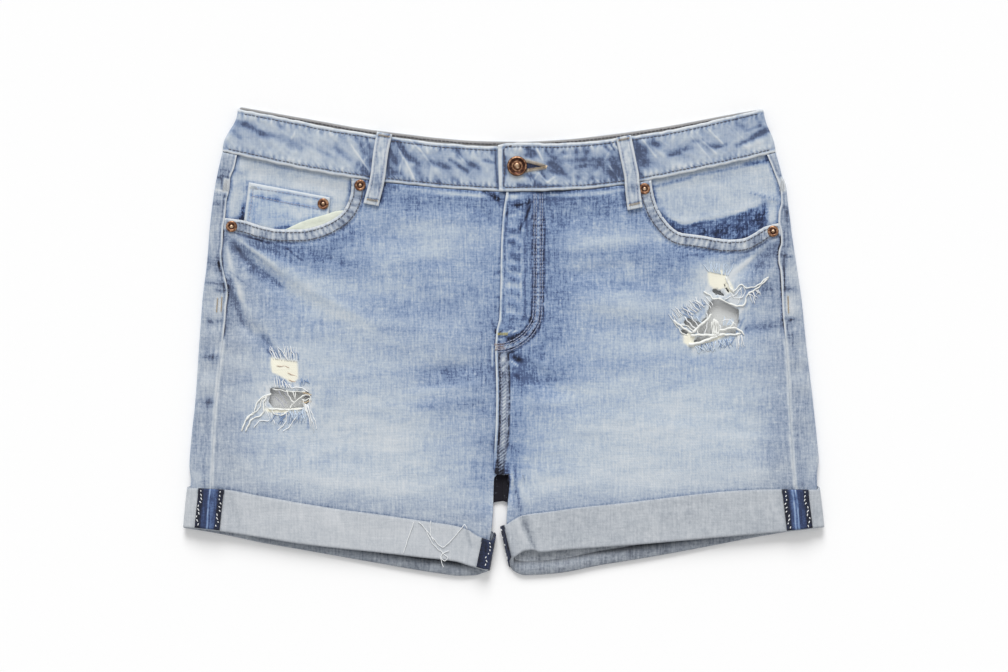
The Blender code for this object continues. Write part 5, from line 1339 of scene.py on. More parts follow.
def band_puckers(x, y, from_bottom, from_top, even, uneven):
    """Puckers inside both stitch lines: even waves, and uneven ones."""
    waves = even * wave(x / 4.8, 2 * np.sin(x / 17)) + uneven * patchy(x, y, 59, 2.6, 9)
    return waves * (bump(from_bottom - 5.2, 2.6) + bump(from_top - 5.2, 2.6))


def band_relief(x, y, from_bottom, from_top):
    """Roped face, stitch furrows and puckered, rolled edges."""
    face = ramp((from_bottom - 2.5) / 4) * ramp((from_top - 2.5) / 4)
    puckers = band_puckers(x, y, from_bottom, from_top, 0.20, 0.15)
    furrow = bump(from_bottom - BAND_STITCH, 0.9) + bump(from_top - BAND_STITCH, 0.9)
    button = bump(np.hypot(x - BUTTON_AT[0], y - BUTTON_AT[1]), 11)
    rough = 0.24 * roping(x, y) - 0.8 * marks("band", x, y)
    return rough * face + puckers - 0.32 * furrow - 0.5 * button


def band_wash(x, y, from_bottom, from_top, upper_end):
    face = ramp((from_bottom - 1) / 5) * ramp((from_top - 1) / 5)
    strong = 0.85 + 0.35 * bump(x + 20, 60) + 0.45 * bump(x - 80, 40)
    wash = fades_and_shade("band", x, y) - 0.13 * strong * roping(x, y) * (0.45 + 0.55 * face)
    wash = wash - 0.08 * ramp((-96 - x) / 20) - 0.04 * ramp((x - 112) / 10)
    wash = wash + 0.10 * patchy(x, y, 54, 16, 8) + loop_shade(x, y)
    wash = wash - band_puckers(x, y, from_bottom, from_top, 0.16, 0.22)
    for d in (from_bottom, from_top):
        slant = x + 0.9 * d + 0.8 * patchy(x, 0 * d, 67, 9, 1)
        strokes = 0.5 + 0.5 * wave(slant / 3.3)
        strength = 0.75 + 0.6 * patchy(x, 0 * d, 68, 14, 1)
        wash = wash + (0.42 * strokes - 0.12) * bump(d - 4.6, 1.3) * strength
        uneven = 0.80 + 0.4 * patchy(x, d * 0 + 1, 60, 3, 1) + 0.3 * patchy(x, d * 0 + 1, 50, 1.6, 1)
        # Pale rubbed edge, with a thin line of painted shade right at the edge.
        wash = wash - 0.46 * uneven * ramp((2.4 - d) / 1.1) + 0.16 * bump(d, 0.5)
        wash = wash + 0.22 * bump(d - BAND_STITCH, 0.9)
    end = x - BAND_RIGHT_END
    wash = wash + upper_end * (0.24 * bump(end - 5.6, 1.0) - 0.50 * ramp((4.4 - end) / 1.3))
    return np.clip(wash, -0.05, 0.98)


def waistband():
    """One open strip: button end, left front, round the back, right front, upper end."""
    radius = (BAND_FRONT - BAND_BACK) / 2
    middle = (BAND_FRONT + BAND_BACK) / 2
    inset = radius + BAND / 2
    ends = {side: tuple(x - OUT[side] * inset for x in BAND_ENDS[side]) for side in SIDES}
    stations = []

    def add(points, height, normal, front):
        (tx, ty), (bx, by) = points
        stations.append((tx, ty, height, bx, by, height, *normal, front))

    def add_turn(side, table, step):
        front = band_points(table, *ends[side])
        back = band_points(BAND_TOP_BACK, *ends[side], BACK_RISE + SEAM)
        turn = list(turned_edge(front, back, OUT[side], radius, middle, 12))
        for points, height, normal, share in turn[::step]:
            add(points, height, normal, 1 - share)

    for s in np.linspace(0, 1, 230):
        xs = (mix(BAND_LEFT_END, ends["left"][0], s), mix(BAND_LEFT_END, ends["left"][1], s))
        add(band_points(BAND_TOP_LEFT, *xs), BAND_FRONT, (0, 0, 1), 1)
    add_turn("left", BAND_TOP_LEFT, 1)
    for s in np.linspace(0, 1, 120):
        xs = [mix(a, b, s) for a, b in zip(ends["left"], ends["right"])]
        add(band_points(BAND_TOP_BACK, *xs, BACK_RISE + SEAM), BAND_BACK, (0, 0, -1), 0)
    add_turn("right", BAND_TOP_RIGHT, -1)
    for s in np.linspace(0, 1, 260):
        xs = (mix(ends["right"][0], BAND_RIGHT_END, s), mix(ends["right"][1], BAND_RIGHT_END + 1, s))
        rise = float(ramp((LAP_START - xs[0]) / (LAP_START - LAP_END)))
        add(band_points(BAND_TOP_RIGHT, *xs), mix(BAND_FRONT, BAND_LAP, rise), (0, 0, 1), 1)
    data = np.array(stations)
    tops, bottoms, normals, front = data[:, 0:3], data[:, 3:6], data[:, 6:9], data[:, 9:10]
    for line, seed in ((tops, 58), (bottoms, 63)):
        line[:, 1] += 0.45 * patchy(line[:, 0], 0 * line[:, 0], seed, 5.5, 1) * (front[:, 0] > 0.95)
    length = np.linalg.norm(tops - bottoms, axis=1, keepdims=True)
    up = (tops - bottoms) / length
    share = np.linspace(0, 1, BAND_FACE + 1)
    share = mix(share, (1 - np.cos(math.pi * share)) / 2, 0.55)[None]
    from_bottom, from_top = share * length, (1 - share) * length
    full = BAND / 2 * rounding(np.minimum(from_bottom, from_top), BAND_ROUND)
    base = bottoms[:, None, :] + up[:, None, :] * (share * length)[..., None]
    near_end = ramp((np.abs(base[..., 0] - 3.5) - 205) / 18)
    base[..., 0] += 1.7 * near_end * wave(share) * np.where(base[..., 0] < 0, -1, 0.6)
    x, y = base[..., 0], base[..., 1]
    relief = band_relief(x, y, from_bottom, from_top)
    relief = relief * np.clip(full / BAND * 2, 0, 1) * mix(0.25, 1.0, front)
    outer = base + normals[:, None, :] * np.where(front > 0.5, full + relief, np.minimum(
        full, BAND / 2))[..., None]
    dents = 0.15 * np.abs(patchy(x, y, 55, 12, 6)) * (full > 1)
    inner = base - normals[:, None, :] * (full - dents)[..., None]
    points = np.concatenate([outer, inner[:, ::-1][:, 1:-1]], axis=1)
    upper_end = (np.arange(len(data)) > len(data) - UPPER_END)[:, None]
    wash_out = band_wash(x, y, from_bottom, from_top, upper_end)
    wash_in = 0.42 + 0.12 * patchy(x, y, 56, 14, 5) + 0.2 * bump(from_top - 3.0, 0.9)
    wash_in = wash_in - 0.3 * bump(from_top - 0.6, 1.2)
    wash = np.concatenate([wash_out, wash_in[:, ::-1][:, 1:-1]], axis=1)
    inside = np.concatenate([0.34 + 0 * wash_out, 1 + 0 * wash_in[:, ::-1][:, 1:-1]], axis=1)
    return loft("band", points, "waistband_denim", {"wash": wash, "inside": inside}, False)


def band_top_height(x, y):
    """Height of the front band's outer face."""
    table = np.where(x < BAND_RIGHT_END, smooth(BAND_TOP_LEFT, x), smooth(BAND_TOP_RIGHT, x))
    seam = smooth(WAIST_SEAM, x)
    full = BAND / 2 * rounding(np.minimum(y - seam, table - y), BAND_ROUND)
    lapped = np.where(x >= BAND_RIGHT_END - 0.5, ramp((LAP_START - x) / (LAP_START - LAP_END)), 0.0)
    return mix(BAND_FRONT, BAND_LAP, lapped) + full + band_relief(x, y, y - seam, table - y)


# ---------------------------------------------------------------- cuffs
CUFF_FACE = 24                  # cells up a cuff's face
CUFF_STATIONS = (250, 16)       # along a layer, round a turn
CUFF_LIP = 4.0                  # how far the back's inner layer reaches over the panel's end
# A cuff's section below and above its face: edge, distance from it, distance outwards
CUFF_EDGE = [("bottom", CUFF_HOOK, -2.4), ("bottom", 4.5, -2.4), ("bottom", 1.3, -2.4),
             ("bottom", 0.55, -2.0), ("bottom", 0.1, -1.3), ("bottom", 0, -0.65),
             ("bottom", 0.1, 0.1), ("bottom", 0.5, 0.75)]
CUFF_TURN = [("top", 0.5, 0.95), ("top", 0.15, 0.5), ("top", 0.1, 0.0), ("top", 0.15, -0.5),
             ("top", 0.45, -0.95), ("top", 1.2, -1.1), ("top", 8, -1.1), ("top", 18, -1.1),
             ("bottom", CUFF_HOOK, -1.1), ("bottom", CUFF_HOOK, -2.3)]


def cuff_ring(side, steps, turn_steps):
    """Stations round a cuff: front outer to inner, inner turn, back inner to outer, turn."""
    out = OUT[side]
    radius = (CUFF_FRONT - CUFF_BACK) / 2
    middle = (CUFF_FRONT + CUFF_BACK) / 2
    inset = radius + CUFF / 2
    (outer_top, outer_bottom), (inner_top, inner_bottom) = CUFF_ENDS[side]
    outer = (outer_top - out * inset, outer_bottom - out * inset)
    inner = (inner_top + out * inset, inner_bottom + out * inset)

    def front(x_top, x_bottom):
        return ((x_top, float(smooth(CUFF_TOP[side], x_top))),
                (x_bottom, float(smooth(CUFF_BOTTOM[side], x_bottom))))

    def back(x_top, x_bottom):
        low = float(smooth(CUFF_BOTTOM_BACK[side], x_bottom))
        return (x_top, low + CUFF_WIDTH), (x_bottom, low)

    def turn(ends, direction):
        rows = turned_edge(front(*ends), back(*ends), direction, radius, middle, turn_steps)
        return [((*top, height), (*bottom, height), normal) for (top, bottom), height, normal, _ in rows]

    stations = []
    for s in np.linspace(0, 1, steps):
        top, bottom = front(mix(outer[0], inner[0], s), mix(outer[1], inner[1], s))
        stations.append(((*top, CUFF_FRONT), (*bottom, CUFF_FRONT), (0, 0, 1)))
    stations += turn(inner, -out)
    for s in np.linspace(0, 1, steps):
        top, bottom = back(mix(inner[0], outer[0], s), mix(inner[1], outer[1], s))
        stations.append(((*top, CUFF_BACK), (*bottom, CUFF_BACK), (0, 0, -1)))
    stations += turn(outer, out)[::-1]
    return [np.array(part, float) for part in zip(*stations)]


# Creases of each cuff: px, py to px, py, half width (mm), height (mm)
CUFF_CREASES = {
    "left": [(466, 522, 474, 552, 3, -0.4), (224, 490, 238, 526, 5, -0.3), (330, 505, 346, 536, 9, 0.25)],
    "right": [(523, 516, 527, 530, 4.2, -0.5), (527, 530, 533, 546, 3.6, -0.42),
              (516, 520, 521, 540, 3, 0.4), (760, 488, 776, 524, 6, 0.3), (640, 500, 652, 534, 9, 0.25)]}


def cuff_creases(side, x, y):
    return segment_folds(x, y, in_millimetres(CUFF_CREASES[side]), 0.4)


def cuff_relief(side, x, y):
    return cuff_creases(side, x, y) + 0.12 * patchy(x, y, 61, 24, 9)


def station_of(tab_station):
    """A cuff's station number where a tab's coarser ring has the given one."""
    last = TAB_STATIONS[0] - 1
    if tab_station <= last:
        return tab_station * (CUFF_STATIONS[0] - 1) / last
    return CUFF_STATIONS[0] - 1 + (tab_station - last) * CUFF_STATIONS[1] / TAB_STATIONS[1]


def cuff(side):
    tops, bottoms, normals = cuff_ring(side, *CUFF_STATIONS)
    length = np.linalg.norm(tops - bottoms, axis=1, keepdims=True)
    up = (tops - bottoms) / length

    def rolled(form):
        return [(tops - up * distance if edge == "top" else bottoms + up * distance) + normals * out
                for edge, distance, out in form]

    points = rolled(CUFF_EDGE)
    for s in np.linspace(0, 1, CUFF_FACE + 1):
        base = mix(bottoms + up * 1.3, tops - up * 1.2, s)
        swell = cuff_relief(side, base[:, 0], base[:, 1]) * math.sin(math.pi * mix(0.06, 0.94, s)) ** 0.4
        swell = np.where(normals[:, 2] < -0.1, -np.abs(swell) * 0.3, swell)
        points.append(base + normals * (CUFF / 2 + swell)[:, None])
    points = np.stack(points + rolled(CUFF_TURN), axis=1)
    lip = ramp(-normals[:, 2:3])
    points[:, 0] += lip * (up * CUFF_LIP - normals * 0.35)
    points[:, -1] -= lip * normals * 0.15
    x, y = points[..., 0], points[..., 1]
    row = np.arange(points.shape[1])[None] - len(CUFF_EDGE)
    face = (row >= 0) & (row <= CUFF_FACE)
    wash = BASE_WASH["cuff_" + side] + 0.04 * patchy(x, y, 62, 22, 8)
    if side == "right":
        wash = wash + 0.06 * patchy(x, y, 70, 4, 2.5)
    # Creases are painted too: shade in their troughs, light on their ridges.
    wash = wash - 0.32 * cuff_creases(side, x, y) + marks("cuff_" + side, x, y)
    # Painted shade: the back half seen inside the leg opening, and the rolled edges' rows (0.44), are
    # darker than the face.
    shaded_back_half = (normals[:, 2:3] < 0.2) & ~face
    wash = np.where(shaded_back_half, 0.67 + 0.08 * patchy(x, y, 76, 12, 4), np.where(face, wash, 0.44))
    station = np.arange(len(tops))[:, None]
    rim = np.abs(row - CUFF_FACE - 1) < 3.5
    for _, tab_side, first, last in TABS:
        if tab_side == side:
            under = (station > station_of(first) - 0.5) & (station < station_of(last) + 0.5)
            wash = np.where(under & rim, 1.12, wash)
    return loft("cuff_shell_" + side, points, "cuff_denim", {"wash": wash, "inside": 0.95},
                True)


TAB_LIFT = CUFF / 2 + SEAM + CLOTH / 2
TAB_MARGIN = (0.3, 1.0)         # left free at a cuff's top and bottom edge


def tab_grid(side, first, last):
    steps = (TAB_STATIONS[0] - 1) * TAB_FINER + 1
    ring = cuff_ring(side, steps, TAB_STATIONS[1] * TAB_FINER)
    tops, bottoms, normals = (a[first * TAB_FINER:last * TAB_FINER + 1] for a in ring)
    up = tops - bottoms
    length = np.linalg.norm(up, axis=1, keepdims=True)
    up = up / length
    rows = [bottoms + up * mix(TAB_MARGIN[1], length - TAB_MARGIN[0], s) + normals * TAB_LIFT
            for s in np.linspace(1, 0, 20)]
    return np.stack(rows), normals


# Pressed pale lines of each tab, and its rows of white stitches, as shares of its width
TAB_LINES = {"cuff_tab_left_outer": (0.47,), "cuff_tab_right_outer": (0.50, 0.62),
             "cuff_tab_left_inner": (), "cuff_tab_right_inner": ()}
TAB_STITCHES = {"cuff_tab_left_outer": (0.10, 0.87), "cuff_tab_right_outer": (0.13, 0.88),
                "cuff_tab_left_inner": (0.28,), "cuff_tab_right_inner": (0.5,)}


def cuff_tab(name, side, first, last):
    """Raw indigo seam allowance: blue in the middle, near-black along its raw edges."""
    grid, normals = tab_grid(side, first, last)
    share = np.linspace(0, 1, grid.shape[1])[None]
    down = np.linspace(0, 1, grid.shape[0])[:, None]
    across = 2 * share - 1
    lift = 0.25 * bump(across, 0.25) - 0.15 * bump(np.abs(across) - 0.35, 0.12)
    grid = grid + normals * (lift + 0.08 * np.sin(down * 40))[..., None]
    if TAB_LINES[name]:
        wash = 1.04 + 0.16 * ramp((np.abs(across) - 0.50) / 0.14) - 0.11 * bump(share - 0.62, 0.12)
    else:
        wash = 1.11 + 0.07 * np.abs(across)
    wash = wash + 0.05 * patchy(down * 36, share * 22, 93, 6, 2.4)
    for line in TAB_LINES[name]:
        broken = 0.75 + 0.5 * patchy(down * 36 + 50 * line, 0 * down, 94, 3.5, 1)
        wash = wash - 0.66 * broken * bump(share - line + 0.02 * np.sin(down * 5), 0.022)
    half = normals * CLOTH / 2
    return two_sided(name + "_cloth", grid + half, grid - half, "raw_indigo", {"wash": wash})


# ---------------------------------------------------------------- pockets
def pocket_facing(side):
    u, v = shares(66, 46)
    wider = 2.9 if side == "right" else 0
    x, y = spread(u, v, lambda y: smooth(OUTLINE[side], y) - OUT[side] * (6.5 - wider * bump(y - 128, 20)),
                  lambda y: FACING_INNER[side] + 0 * y,
                  lambda x: smooth(WAIST_SEAM, x) + 5,
                  lambda x: smooth(FACING_BOTTOM[side], x))
    calm = ramp((below_band(x, y) - 4) / 10)
    z = facing_height(side, x, y) + 0.10 * patchy(x, y, 71, 16, 7) * calm
    wash = BASE_WASH["facing_" + side] + 0.08 * patchy(x, y, 72, 22, 7)
    wash = wash + 0.05 * patchy(x, y, 73, 7, 4) + marks("facing_" + side, x, y)
    # Painted shade under the band, along the mouth's edge and along the side seam.
    wash = wash + 0.10 * bump(below_band(x, y) - 2, 4)
    wash = wash + 0.36 * bump(np.minimum(mouth_distance(side, x, y)[0], 0), 1.9)
    wash = wash + 0.55 * bump(from_side_seam(side, x, y) - 0.8, 1.5)
    if side == "right":
        wear = seen_curve([(655, 208), (672, 219), (685, 224), (700, 220.5), (720, 217.5), (740, 212),
                           (755, 206), (767, 202)])
        line = np.interp(x, wear[:, 0], wear[:, 1])
        dark = ramp((line - y) / 1.6) * ramp((seen(770, 0)[0] - x + 1.5 * patchy(x, y, 77, 3, 3)) / 5)
        scratches = np.maximum(patchy(x, y, 74, 7, 1.3, 50), patchy(x, y, 75, 6, 1.3, -35))
        deep = 0.97 + 0.16 * bump(y - line + 14, 8) + 0.10 * patchy(x, y, 76, 6, 5)
        wash = mix(wash, deep - 0.22 * np.maximum(scratches, 0), dark)
        z = z + 0.4 * bump(y - line - 1.5, 2.2) * calm
        ridge = segment_folds(x, y, [(*seen(750, 193), *seen(777, 199), 2.4, 0.5)], 0.3)
        z = z + ridge * calm
        # Painted light on the ridge.
        wash = wash - 0.15 * ridge
    else:
        outline = [(COIN_SIDES[1][1], COIN_BOTTOM_Y), *COIN_TOP, (COIN_SIDES[1][2], COIN_BOTTOM_Y)]
        # Painted shade round the coin pocket's edges and in the gap at its left.
        wash = wash + 0.40 * bump(from_line(x, y, outline)[0], 2.0)
        gap = seen(243, 219)
        wash = wash + 0.5 * bump(np.hypot((x - gap[0]) / 1.3, y - gap[1]), 5)
        wash = wash + 0.16 * bump(x + 222, 5) * ramp((150 - y) / 6)
    return cloth("facing_" + side, np.stack([x, y, z], axis=2), CLOTH * 0.9, "denim",
                 {"wash": np.clip(wash, 0, 1.15), "inside": 0.22 * ramp((1.0 - wash) / 0.4)}, None,
                 {"inside": 1.0, "wash": 0.4})


COIN_HEM = 9.5                  # width of the coin pocket's hem


def coin_pocket():
    u, v = shares(52, 38)
    inner = [(row[0], row[2]) for row in COIN_SIDES]
    x, y = spread(u, v, lambda y: smooth(COIN_SIDES, y), lambda y: smooth(inner, y),
                  lambda x: smooth(COIN_TOP, x), lambda x: COIN_BOTTOM_Y + 0 * x)
    below = smooth(COIN_TOP, x) - y
    edge = np.minimum(np.minimum(x - smooth(COIN_SIDES, y), smooth(inner, y) - x), below)
    z = COIN + 0.10 * patchy(x, y, 81, 12, 6) - 0.3 * bump(edge, 0.8)
    z = z + 0.12 * wave(x / 6) * bump(below - 5, 3) - 0.2 * bump(below - COIN_HEM, 0.9)
    wash = BASE_WASH["coin"] + 0.10 * patchy(x, y, 82, 16, 6) + 0.09 * patchy(x, y, 83, 5, 4)
    wash = wash + marks("coin", x, y) - 0.08 * bump(below - 5, 4)
    # Pale rubbed edges; the darker line below the hem is painted shade in its furrow.
    wash = wash - 0.34 * ramp((2.4 - edge) / 1.2) + 0.26 * bump(below - COIN_HEM - 1.0, 1.1)
    wash = wash + 0.20 * bump(edge - 3.4, 1.0) + 0.24 * patchy(x, y, 84, 4.5, 20) * bump(below - 5, 4)
    return cloth("coin_pocket_cloth", np.stack([x, y, z], axis=2), CLOTH, "denim",
                 {"wash": np.clip(wash, -0.05, 1)}, None, {"inside": 1.0})


def pocket_bag():
    u, v = shares(50, 18)
    x, y = spread(u, v, lambda y: BAG_ENDS[0] + 0 * y, lambda y: BAG_ENDS[1] + 0 * y,
                  lambda x: smooth(BAG_TOP, x), lambda x: smooth(BAG_TOP, x) - BAG_DEPTH)
    below = smooth(BAG_TOP, x) - y
    z = BAG + 0.15 * patchy(x, y, 85, 9, 4) - 0.25 * bump(below, 0.9) - 0.15 * bump(below - 5.5, 1.2)
    return cloth("pocket_bag_cloth", np.stack([x, y, z], axis=2), CLOTH * 0.8, "pocketing",
                 {"wash": 0.0})


# ---------------------------------------------------------------- belt loops and hardware
def loop_frame(top_x, top_y, bottom_x, bottom_y):
    """Directions along and across a belt loop, and its length."""
    along = np.array([bottom_x - top_x, bottom_y - top_y])
    length = float(np.hypot(*along))
    return along / length, np.array([-along[1], along[0]]) / length, length


def loop_height(s, x, y):
    """Middle of a belt loop, at a share s of its length."""
    on_band = BAND_FRONT + BAND / 2 + SEAM + LOOP_CLOTH / 2
    on_panel = FRONT_AT_BAND + CLOTH / 2 + SEAM + LOOP_CLOTH / 2 + 0.1
    height = mix(on_panel, on_band, float(ramp((5 - below_band(x, y)) / 4)))
    return height + LOOP_ARCH * math.sin(math.pi * s) ** 0.7


def belt_loop(name, top_x, top_y, bottom_x, bottom_y):
    """Folded strip with rolled edges; its ends are tacked flat."""
    along, side, length = loop_frame(top_x, top_y, bottom_x, bottom_y)
    across = np.sin(np.linspace(-math.pi / 2, math.pi / 2, 23))
    rows, wash = [], []
    for s in np.linspace(0, 1, 72):
        centre = np.array([top_x, top_y]) + along * s * length + side * float(smooth(LOOP_BOW[name], s))
        height = loop_height(s, *centre)
        wobble = 0.25 * math.sin(s * 9 + top_x)
        width = LOOP_WIDTH / 2 * (1 - 0.05 * math.sin(math.pi * s)) * across + wobble
        swell = 0.22 * bump(np.abs(across) - 0.78, 0.16) - 0.12 * bump(across, 0.5)
        swell = swell - 0.55 * np.abs(across) ** 14
        rows.append([(*(centre - side * w), height + k) for w, k in zip(width, swell)])
        pale = 0.26 - 0.40 * ramp((np.abs(across) - 0.78) / 0.12) + 0.38 * bump(np.abs(across) - 0.66, 0.08)
        # lower is painted shade on the loop's lower middle.
        lower = 0.30 * bump(s - 0.66, 0.14) * bump(across + 0.1, 0.55) + 0.24 * bump(s - 0.72, 0.05)
        ends = 0.30 * bump(s - 0.05, 0.025) + 0.55 * bump(s - 0.915, 0.012) - 0.24 * ramp((s - 0.93) / 0.02)
        wash.append(pale + lower + ends)
    wash = np.array(wash)
    grid = np.array(rows)
    wash = wash + 0.16 * patchy(grid[..., 0], grid[..., 1], 91, 3.5, 4)
    wash = wash + 0.20 * patchy(grid[..., 0], grid[..., 1], 92, 1.6, 7)
    return cloth(name + "_cloth", grid, LOOP_CLOTH, "denim",
                 {"wash": np.clip(wash, -0.05, 1), "inside": 0.45})


# Radius and height of each ring, and the material of the faces up to the next ring:
# 0 copper, 1 dark copper, 2 pale metal, whose pale top is a painted highlight
RIVET_FORM = [(0, 0, 0), (4.6, 0, 0), (4.8, 0.25, 0), (4.7, 0.6, 0), (4.35, 0.95, 0),
              (3.8, 1.12, 0), (3.2, 1.10, 0), (2.75, 0.85, 1), (2.3, 0.72, 1), (1.75, 0.72, 1),
              (1.45, 0.95, 2), (1.2, 1.35, 2), (0.7, 1.62, 2), (0, 1.7, 2)]
BUTTON_FORM = [(0, -2.2, 0), (2.2, -2.2, 0), (2.2, 0.3, 0), (7.6, 0.3, 0), (8.2, 0.55, 0),
               (8.5, 1.0, 1), (8.45, 1.6, 1), (8.1, 2.2, 0), (7.5, 2.6, 0), (6.9, 2.65, 1),
               (6.3, 2.35, 1), (5.7, 2.0, 1), (4.6, 1.8, 0), (3.4, 1.75, 1), (3.0, 2.0, 1),
               (2.6, 2.45, 0), (1.8, 2.8, 2), (0.9, 2.95, 2), (0, 3.0, 2)]


METAL_SIDES = 48                # faces round each turned piece


def metal(node, form):
    """Turned piece on the middle of its node's box, from the node's own height."""
    low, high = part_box(node)
    x, y = ((low[k] + high[k]) / 2 / MM + CENTRE[k] for k in (0, 1))
    base = low[2] / MM - min(row[1] for row in form)
    points, rings = [], []
    for radius, height, _ in form:
        count = METAL_SIDES if radius else 1
        rings.append(list(range(len(points), len(points) + count)))
        points += [(x + radius * math.cos(a), y + radius * math.sin(a), base + height)
                   for a in (2 * math.pi * k / METAL_SIDES for k in range(count))]
    faces, which = [], []
    for row, (lower, upper) in enumerate(zip(rings, rings[1:])):
        for k in range(METAL_SIDES):
            m = (k + 1) % METAL_SIDES
            face = [lower[k % len(lower)], lower[m % len(lower)], upper[m % len(upper)],
                    upper[k % len(upper)]]
            faces.append(tuple(dict.fromkeys(face)))
            which.append(form[row][2])
    thing = new_object(node + "_metal", points, faces, ["copper", "copper_dark", "pale_metal_highlight"], which)
    thing.data.set_sharp_from_angle(angle=math.radians(50))
    return thing


# ---------------------------------------------------------------- stitching and loose threads
def front_top(side):
    return lambda x, y: front_panel_height(side, x, y) + CLOTH / 2


def on(level):
    return lambda x, y: level + 0 * x


BAND_STITCHING = (3.3, 2.4)     # from stitch to stitch, length of one
# Rows of stitches: from a mouth's edge, from the middle of the fly's curve, from the fly's edge
# down the crotch seam, and from a belt loop's middle
MOUTH_ROWS, FLY_ROWS = (2.6, MOUTH_HEM - 1.0), (-3.7, -1.7, 1.5, 3.5)
CROTCH_ROWS, LOOP_ROW = (4.6, 8.8), 3.9
TACK_STEP = 0.42                # from side to side of a bar tack's zigzag


def waistband_stitches():
    paths = []
    for table, sign, start, top_end, low_end in ((BAND_TOP_LEFT, -1, -5.5, 221, 234),
                                                 (BAND_TOP_RIGHT, 1, 1.0, 217, 227)):
        high_x = np.arange(start, sign * top_end, sign * 1.5)
        low_x = np.arange(start, sign * low_end, sign * 1.5)
        top = np.stack([high_x, smooth(table, high_x) - BAND_STITCH], axis=1)
        low = np.stack([low_x, smooth(WAIST_SEAM, low_x) + BAND_STITCH], axis=1)
        paths += [top, low]
    paths.append(seen_curve([(504, 188), (504, 150), (506, 147.5), (512, 146)]))
    lines = [stitch_lines(path, band_top_height, *BAND_STITCHING) for path in paths]
    return tubes("waistband_stitches", lines, 0.36, "thread_brown")


def inner_band_stitches():
    xs = np.arange(-206.0, 202.0, 1.5)
    path = np.stack([xs, smooth(BAND_TOP_BACK, xs) - 2.6], axis=1)
    lines = [stitch_lines(path, on(BAND_BACK + BAND / 2), *BAND_STITCHING)]
    return tubes("inner_band_stitches", lines, 0.36, "thread_brown")


def pocket_stitches(side):
    mouth = MOUTH[side]
    line = mouth[(np.abs(mouth[:, 0]) < 233) & (below_band(mouth[:, 0], mouth[:, 1]) > 2)]
    lines = [stitch_lines(offset(line, -OUT[side] * d), front_top(side)) for d in MOUTH_ROWS]
    return tubes("pocket_stitches_" + side, lines, 0.34, "thread_brown")


def fly_stitches():
    """Four rows round the fly's curve and two down the crotch seam."""
    ys = np.arange(-12.0, -96.0, -1.5)
    paths = [offset(FLY_CURVE, d) for d in FLY_ROWS]
    paths += [np.stack([smooth(FLY_EDGE, ys) + d, ys], axis=1) for d in CROTCH_ROWS]
    lines = [stitch_lines(path, front_top("right"), 2.7, 2.1) for path in paths]
    return tubes("fly_stitches", lines, 0.44, "thread_slate")


def coin_stitches():
    hem = [(252, 196), (270, 199.5), (290, 203.5), (310, 207), (326, 210.5)]
    left, top = [(253.5, 188), (249.5, 219)], [(256, 188.5), (290, 193.5), (318, 198.5)]
    lines = [stitch_lines(seen_curve(path), on(COIN + CLOTH / 2), 3.0, 2.2) for path in (hem, left, top)]
    return tubes("coin_stitches", lines, 0.27, "thread_grey")


# Bar tacks of each colour: what it lies on, px, py to px, py, width (mm)
TACKS = {
    "copper": [("front_right", 494.5, 344.5, 504, 344.5, 1.8),
               ("front_right", 496, 347, 503.5, 346.5, 1.4),
               ("front_right", 495, 349.5, 505, 348.5, 1.8)],
    "cream": [("coin_left", 250.5, 187, 257, 188, 3.0)],
    "orange": [("front_right", 497.8, 333.4, 507.8, 333.4, 1.2),
               ("front_right", 498, 334.6, 507.5, 334.8, 1.2)],
    "tan": [("strip_left", 218.3, 298, 217.3, 312, 0.9), ("strip_left", 222.6, 297, 221.8, 311.5, 0.9),
            ("strip_right", 787.3, 296, 787.8, 313, 1.0)],
    "white": [("strip_left", 224, 185, 229.5, 185.5, 10.5),
              ("strip_right", 779.6, 185, 784.0, 185.5, 11.0)]}


def surface(place):
    """Height of the top of a front, of the strip beside it or of the coin pocket."""
    kind, side = place.split("_")
    if kind == "front":
        return front_top(side)
    if kind == "strip":
        return lambda x, y: front_height(side, x, y) + strip_relief(side, x, y) + CLOTH / 2 + 0.4
    return on(COIN + CLOTH / 2)


def bar_tacks():
    """Dense zigzag rows, one joined piece for each colour of thread."""
    made = []
    for colour, rows in TACKS.items():
        lines = []
        for place, px0, py0, px1, py1, width in rows:
            a, b = np.array(seen(px0, py0)), np.array(seen(px1, py1))
            length = np.hypot(*(b - a))
            side = np.array([-(b - a)[1], (b - a)[0]]) / length * width / 2
            path = np.array([mix(a, b, t) + side * (1 if k % 2 else -1)
                             for k, t in enumerate(np.linspace(0, 1, int(length / TACK_STEP)))])
            z = surface(place)(path[:, 0], path[:, 1]) + 0.15
            lines.append(np.column_stack([path, z]))
        made.append(tubes("bar_tacks_thread_" + colour, lines, 0.27, "thread_" + colour, 4))
    return made


def loop_stitches():
    """Two stitched edges and a tack at each end of a belt loop."""
    edge_lines, tack_lines = [], []
    for name, *ends in BELT_LOOPS:
        along, side, length = loop_frame(*ends)
        start = np.array(ends[:2])

        def place(far, off):
            centre = start + along * far + side * float(smooth(LOOP_BOW[name], far / length))
            height = loop_height(far / length, *centre) + LOOP_CLOTH / 2
            return (*(centre - side * off), height)

        for off in (-LOOP_ROW, LOOP_ROW):
            for far in np.arange(5.0, length - 6.5, 3.2):
                edge_lines.append([place(far + d, off)[:2] + (place(far + d, off)[2] + h,)
                                   for d, h in ((0, -0.1), (0.5, 0.15), (1.7, 0.15), (2.2, -0.1))])
        for far in (2.5, length - 4.0):
            offs = np.linspace(-4.6, 4.6, 30)
            tack_lines.append([place(far + (0.9 if k % 2 else -0.9), off)[:2]
                               + (place(far, off)[2] + 0.2,) for k, off in enumerate(offs)])
    return [tubes("loop_stitches", [edge_lines], 0.28, "thread_grey", 4),
            tubes("loop_tacks", tack_lines, 0.3, "thread_tan", 4)]


